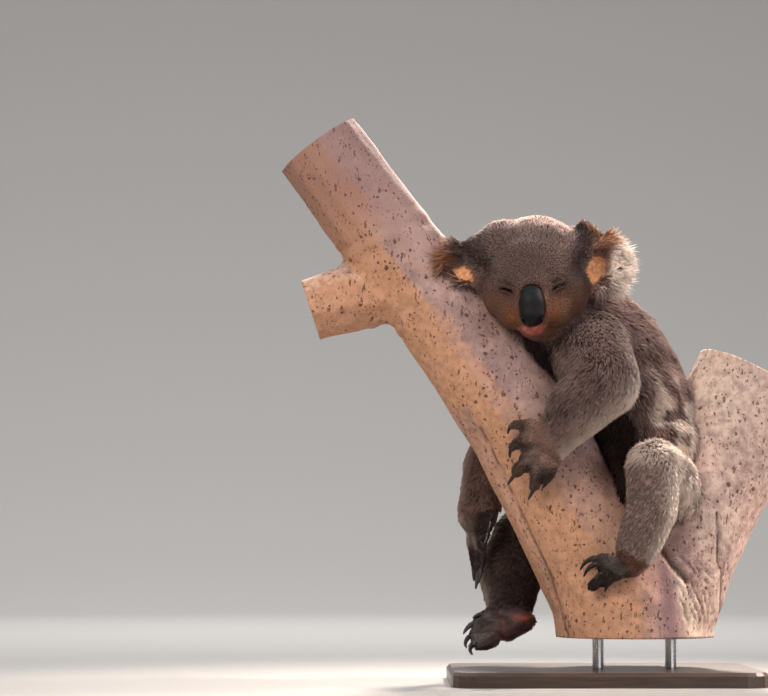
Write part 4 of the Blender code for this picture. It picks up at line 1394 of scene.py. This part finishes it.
def build_stage(studio):
    """A pale bowl of paper all round, soft lights, and the camera."""
    bpy.ops.object.select_all(action="DESELECT")
    bpy.ops.mesh.primitive_cylinder_add(vertices=96, radius=BOWL_RADIUS, depth=BOWL_HEIGHT,
                                        location=(0, 0, BOWL_HEIGHT / 2))
    bowl = bpy.context.view_layer.objects.active
    bowl.name = "studio_bowl"
    bpy.ops.object.transform_apply()
    bm = bmesh.new()
    bm.from_mesh(bowl.data)
    top = [face for face in bm.faces if face.normal.z > 0.5]
    bmesh.ops.delete(bm, geom=top, context="FACES")
    foot = [edge for edge in bm.edges if max(vert.co.z for vert in edge.verts) < BOWL_HEIGHT / 2]
    bmesh.ops.bevel(bm, geom=foot, offset=BOWL_BEND, segments=16, affect="EDGES", profile=0.5)
    bmesh.ops.reverse_faces(bm, faces=bm.faces)
    bm.to_mesh(bowl.data)
    bm.free()
    bowl.data.shade_smooth()
    bowl.data.materials.append(paper_material(studio.paper))

    world = bpy.data.worlds.new("studio")
    world.use_nodes = True
    world.node_tree.nodes["Background"].inputs["Color"].default_value = linear("#ecebed")
    world.node_tree.nodes["Background"].inputs["Strength"].default_value = studio.surround
    bpy.context.scene.world = world
    for name, place, aim, size, watts, beam, shade in (
        ("key_light", (-1.3, -1.9, 1.7), LIGHTS_AIM, 1.3, studio.key, 180, "#fff6f0"),
        ("fill_light", (1.5, -2.2, 0.7), LIGHTS_AIM, 1.6, studio.fill, 180, "#f2f2ff"),
        ("side_light", (1.59, 0.24, 1.62), SIDE_AIM, 0.4, studio.side, 24, "#ffecdc"),
        ("back_light", (0.40, 1.45, 1.60), LIGHTS_AIM, 0.4, studio.back, 50, "#ffeee0"),
        ("backdrop_light", (-0.4, 1.7, 2.8), BACKDROP_AIM, 1.5, studio.backdrop, 160, "#ffffff"),
    ):
        bpy.ops.object.light_add(type="AREA", location=place)
        lamp = bpy.context.view_layer.objects.active
        lamp.name = name
        lamp.rotation_euler = (Vector(aim) - Vector(place)).to_track_quat("-Z", "Y").to_euler()
        lamp.data.shape = "DISK"
        lamp.data.size = size
        lamp.data.energy = watts
        lamp.data.spread = math.radians(beam)
        lamp.data.color = linear(shade)[:3]

    bpy.ops.object.camera_add(location=CAMERA_AT)
    camera = bpy.context.view_layer.objects.active
    camera.rotation_euler = (Vector(CAMERA_AIM) - Vector(CAMERA_AT)).to_track_quat("-Z", "Y").to_euler()
    camera.data.lens = CAMERA_LENS
    camera.data.clip_end = 20.0
    bpy.context.scene.camera = camera
    bpy.context.scene.view_settings.view_transform = "Standard"


# The add-on.


def colour_setting(name, description, shade):
    """A colour that a user can change, from its sRGB hex value."""
    return bpy.props.FloatVectorProperty(name=name, description=description, subtype="COLOR", size=3,
                                         min=0, max=1, default=linear(shade)[:3])


def number_setting(name, description, default, **limits):
    """A number that a user can change, with its unit or limits."""
    return bpy.props.FloatProperty(name=name, description=description, default=default, **limits)


class KoalaCoatSettings(bpy.types.PropertyGroup):
    skin_step: number_setting("Skin step", "Size of the skin's faces", 0.00265, unit="LENGTH")
    hair_length: number_setting("Hair length", "Share of the coat's usual length", 1.0, min=0.3, max=2.0)
    density: number_setting("Density", "Share of the coat's usual number of tufts", 1.0, min=0.05, max=1.5)
    mottle: number_setting("Mottling", "Share of the coat's usual light and dark patches", 1.0, min=0, max=2)
    underfur: colour_setting("Underfur", "Dark woolly hair between the tufts", "#422e29")
    brown: colour_setting("Brown", "The coat's main grey-brown", "#7c5f5a")
    tips: colour_setting("Tips", "The tufts' pale pinkish tips", "#b5978f")
    # Also paints shade on the belly, round the eyes, between the digits and on the right arm and leg.
    dark: colour_setting("Dark", "Near-black fur of the ears", "#2a1d1b")
    rust: colour_setting("Rust", "Warm tan fur of muzzle, ears and forearms", "#a8683f")
    # Also paints light on the left arm's and leg's right rims, the left knee, the rump and the lower back.
    cream: colour_setting("Cream", "White and cream fur", "#ffead8")


class KoalaBareSettings(bpy.types.PropertyGroup):
    lip: colour_setting("Lip", "Pink-brown lower lip and lids", "#a35548")
    sole: colour_setting("Sole", "Leathery palms and soles", "#3a2523")
    digit: colour_setting("Digit", "Bare skin of fingers and toes", "#30231f")
    pad: colour_setting("Pad", "Reddish heel pad and creases", "#a05238")
    inner_ear: colour_setting("Inner ear", "Tan skin inside the ears", "#e8a877")
    nose_top: colour_setting("Nose top", "Slate upper nose", "#16191c")
    nose_low: colour_setting("Nose low", "Reddish-black lower nose", "#130d0e")
    claw: colour_setting("Claw", "Claw horn", "#1d1a1b")


class GumLimbSettings(bpy.types.PropertyGroup):
    step: number_setting("Bark step", "Size of the bark's faces", 0.0034, unit="LENGTH")
    pink: colour_setting("Pink bark", "Fresh pinkish bark", "#bd9c91")
    shaded: colour_setting("Shaded bark", "Older lilac-grey bark", "#997c76")
    # Also paints shade at the top of the upper limb.
    orange: colour_setting("Orange bark", "Tan underside", "#bb8a68")
    # Also paints shade at the top of the upper limb.
    grey: colour_setting("Grey bark", "Last grey-purple skin", "#6f5357")
    # Also paints light on the faces that turn up and on the right limb.
    cream: colour_setting("Cream bark", "Newest cream bark", "#d0bba8")
    # Also paints the shade in the folds' furrows.
    scab: colour_setting("Scabs", "Dark brown specks and cracks", "#52301f")


class StudioSettings(bpy.types.PropertyGroup):
    base: colour_setting("Base", "Stained wood of the stand", "#3a2a20")
    paper: colour_setting("Paper", "Floor and backdrop", "#9d9b98")
    key: number_setting("Key light", "Watts from the front left", 44.0, min=0)
    fill: number_setting("Fill light", "Watts from the front right", 21.0, min=0)
    side: number_setting("Side light", "Watts from above right", 2.3, min=0)
    backdrop: number_setting("Backdrop light", "Watts on the wall", 100.0, min=0)
    back: number_setting("Back light", "Watts from above behind", 10.0, min=0)
    surround: number_setting("Surround", "Strength of the even light", 0.95, min=0)


class KOALA_OT_skin_and_coat(bpy.types.Operator):
    """Build the skin and the coat over it"""

    bl_idname = "koala.skin_and_coat"
    bl_label = "Skin and coat"

    def execute(self, context):
        coat, bare = context.scene.koala_coat, context.scene.koala_bare
        fur_material(coat)
        skin, labels, edges = build_skin(coat.skin_step)
        points = points_of(skin.data)
        tones, bare_parts = markings_and_painted_light_of(points, normals_of(skin.data), labels, edges)
        mottle = coat_values(MOTTLE, labels, on_head(points), edges)
        set_attribute(skin.data, "tone", tone_of(points, labels, mottle), "FLOAT")
        set_attribute(skin.data, "markings_and_painted_light", tones, "FLOAT_COLOR")
        set_attribute(skin.data, "bare_parts", bare_parts, "FLOAT_COLOR")
        skin.data.shade_smooth()
        skin.data.materials.append(skin_material(coat, bare))
        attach(skin, "root")
        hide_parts(*FLESH)
        build_coat(skin, labels, edges, tones, hairlessness(points, tones, bare_parts), coat)
        return {"FINISHED"}


class KOALA_OT_nose(bpy.types.Operator):
    """Build the nose's leather shield"""

    bl_idname = "koala.nose"
    bl_label = "Nose"

    def execute(self, context):
        build_nose(nose_material(context.scene.koala_bare))
        return {"FINISHED"}


class KOALA_OT_claws(bpy.types.Operator):
    """Build the claws"""

    bl_idname = "koala.claws"
    bl_label = "Claws"

    def execute(self, context):
        build_claws(claw_material(context.scene.koala_bare))
        return {"FINISHED"}


class KOALA_OT_eyes(bpy.types.Operator):
    """Give the eyes their wet cornea"""

    bl_idname = "koala.eyes"
    bl_label = "Eyes"

    def execute(self, context):
        material = eye_material()
        for name in ("eye_left", "eye_right"):
            NODES[name].material_slots[0].material = material
        return {"FINISHED"}


class KOALA_OT_gum_limb(bpy.types.Operator):
    """Build the gum limb with its bark"""

    bl_idname = "koala.gum_limb"
    bl_label = "Gum limb"

    def execute(self, context):
        wood = context.scene.koala_wood
        build_limb(wood.step, bark_material(wood), end_grain_material())
        return {"FINISHED"}


class KOALA_OT_stand(bpy.types.Operator):
    """Finish the stand's base and rods"""

    bl_idname = "koala.stand"
    bl_label = "Stand"

    def execute(self, context):
        NODES["stand_base"].material_slots[0].material = base_material(context.scene.koala_studio.base)
        steel = rod_material()
        for name in ("stand_rod_1", "stand_rod_2"):
            NODES[name].material_slots[0].material = steel
        return {"FINISHED"}


class KOALA_OT_stage(bpy.types.Operator):
    """Set the floor, the lights and the camera"""

    bl_idname = "koala.stage"
    bl_label = "Stage"

    def execute(self, context):
        build_stage(context.scene.koala_studio)
        return {"FINISHED"}


class KOALA_PT_panel(bpy.types.Panel):
    bl_label = "Koala"
    bl_idname = "KOALA_PT_panel"
    bl_space_type = "VIEW_3D"
    bl_region_type = "UI"
    bl_category = "Koala"

    def draw(self, context):
        for operator in OPERATORS:
            self.layout.operator(operator.bl_idname)
        for settings in SETTINGS:
            group = getattr(context.scene, settings)
            for name in group.bl_rna.properties.keys():
                if name not in ("rna_type", "name"):
                    self.layout.prop(group, name)


SETTINGS = {
    "koala_coat": KoalaCoatSettings,
    "koala_bare": KoalaBareSettings,
    "koala_wood": GumLimbSettings,
    "koala_studio": StudioSettings,
}
OPERATORS = (KOALA_OT_skin_and_coat, KOALA_OT_nose, KOALA_OT_claws, KOALA_OT_eyes, KOALA_OT_gum_limb,
             KOALA_OT_stand, KOALA_OT_stage)


def register():
    for cls in (*SETTINGS.values(), *OPERATORS, KOALA_PT_panel):
        bpy.utils.register_class(cls)
    for name, cls in SETTINGS.items():
        setattr(bpy.types.Scene, name, bpy.props.PointerProperty(type=cls))


def unregister():
    for name in SETTINGS:
        delattr(bpy.types.Scene, name)
    for cls in (KOALA_PT_panel, *OPERATORS, *SETTINGS.values()):
        bpy.utils.unregister_class(cls)


def main():
    register()
    bpy.ops.koala.skin_and_coat()
    bpy.ops.koala.nose()
    bpy.ops.koala.claws()
    bpy.ops.koala.eyes()
    bpy.ops.koala.gum_limb()
    bpy.ops.koala.stand()
    bpy.ops.koala.stage()


if __name__ == "__main__":
    main()
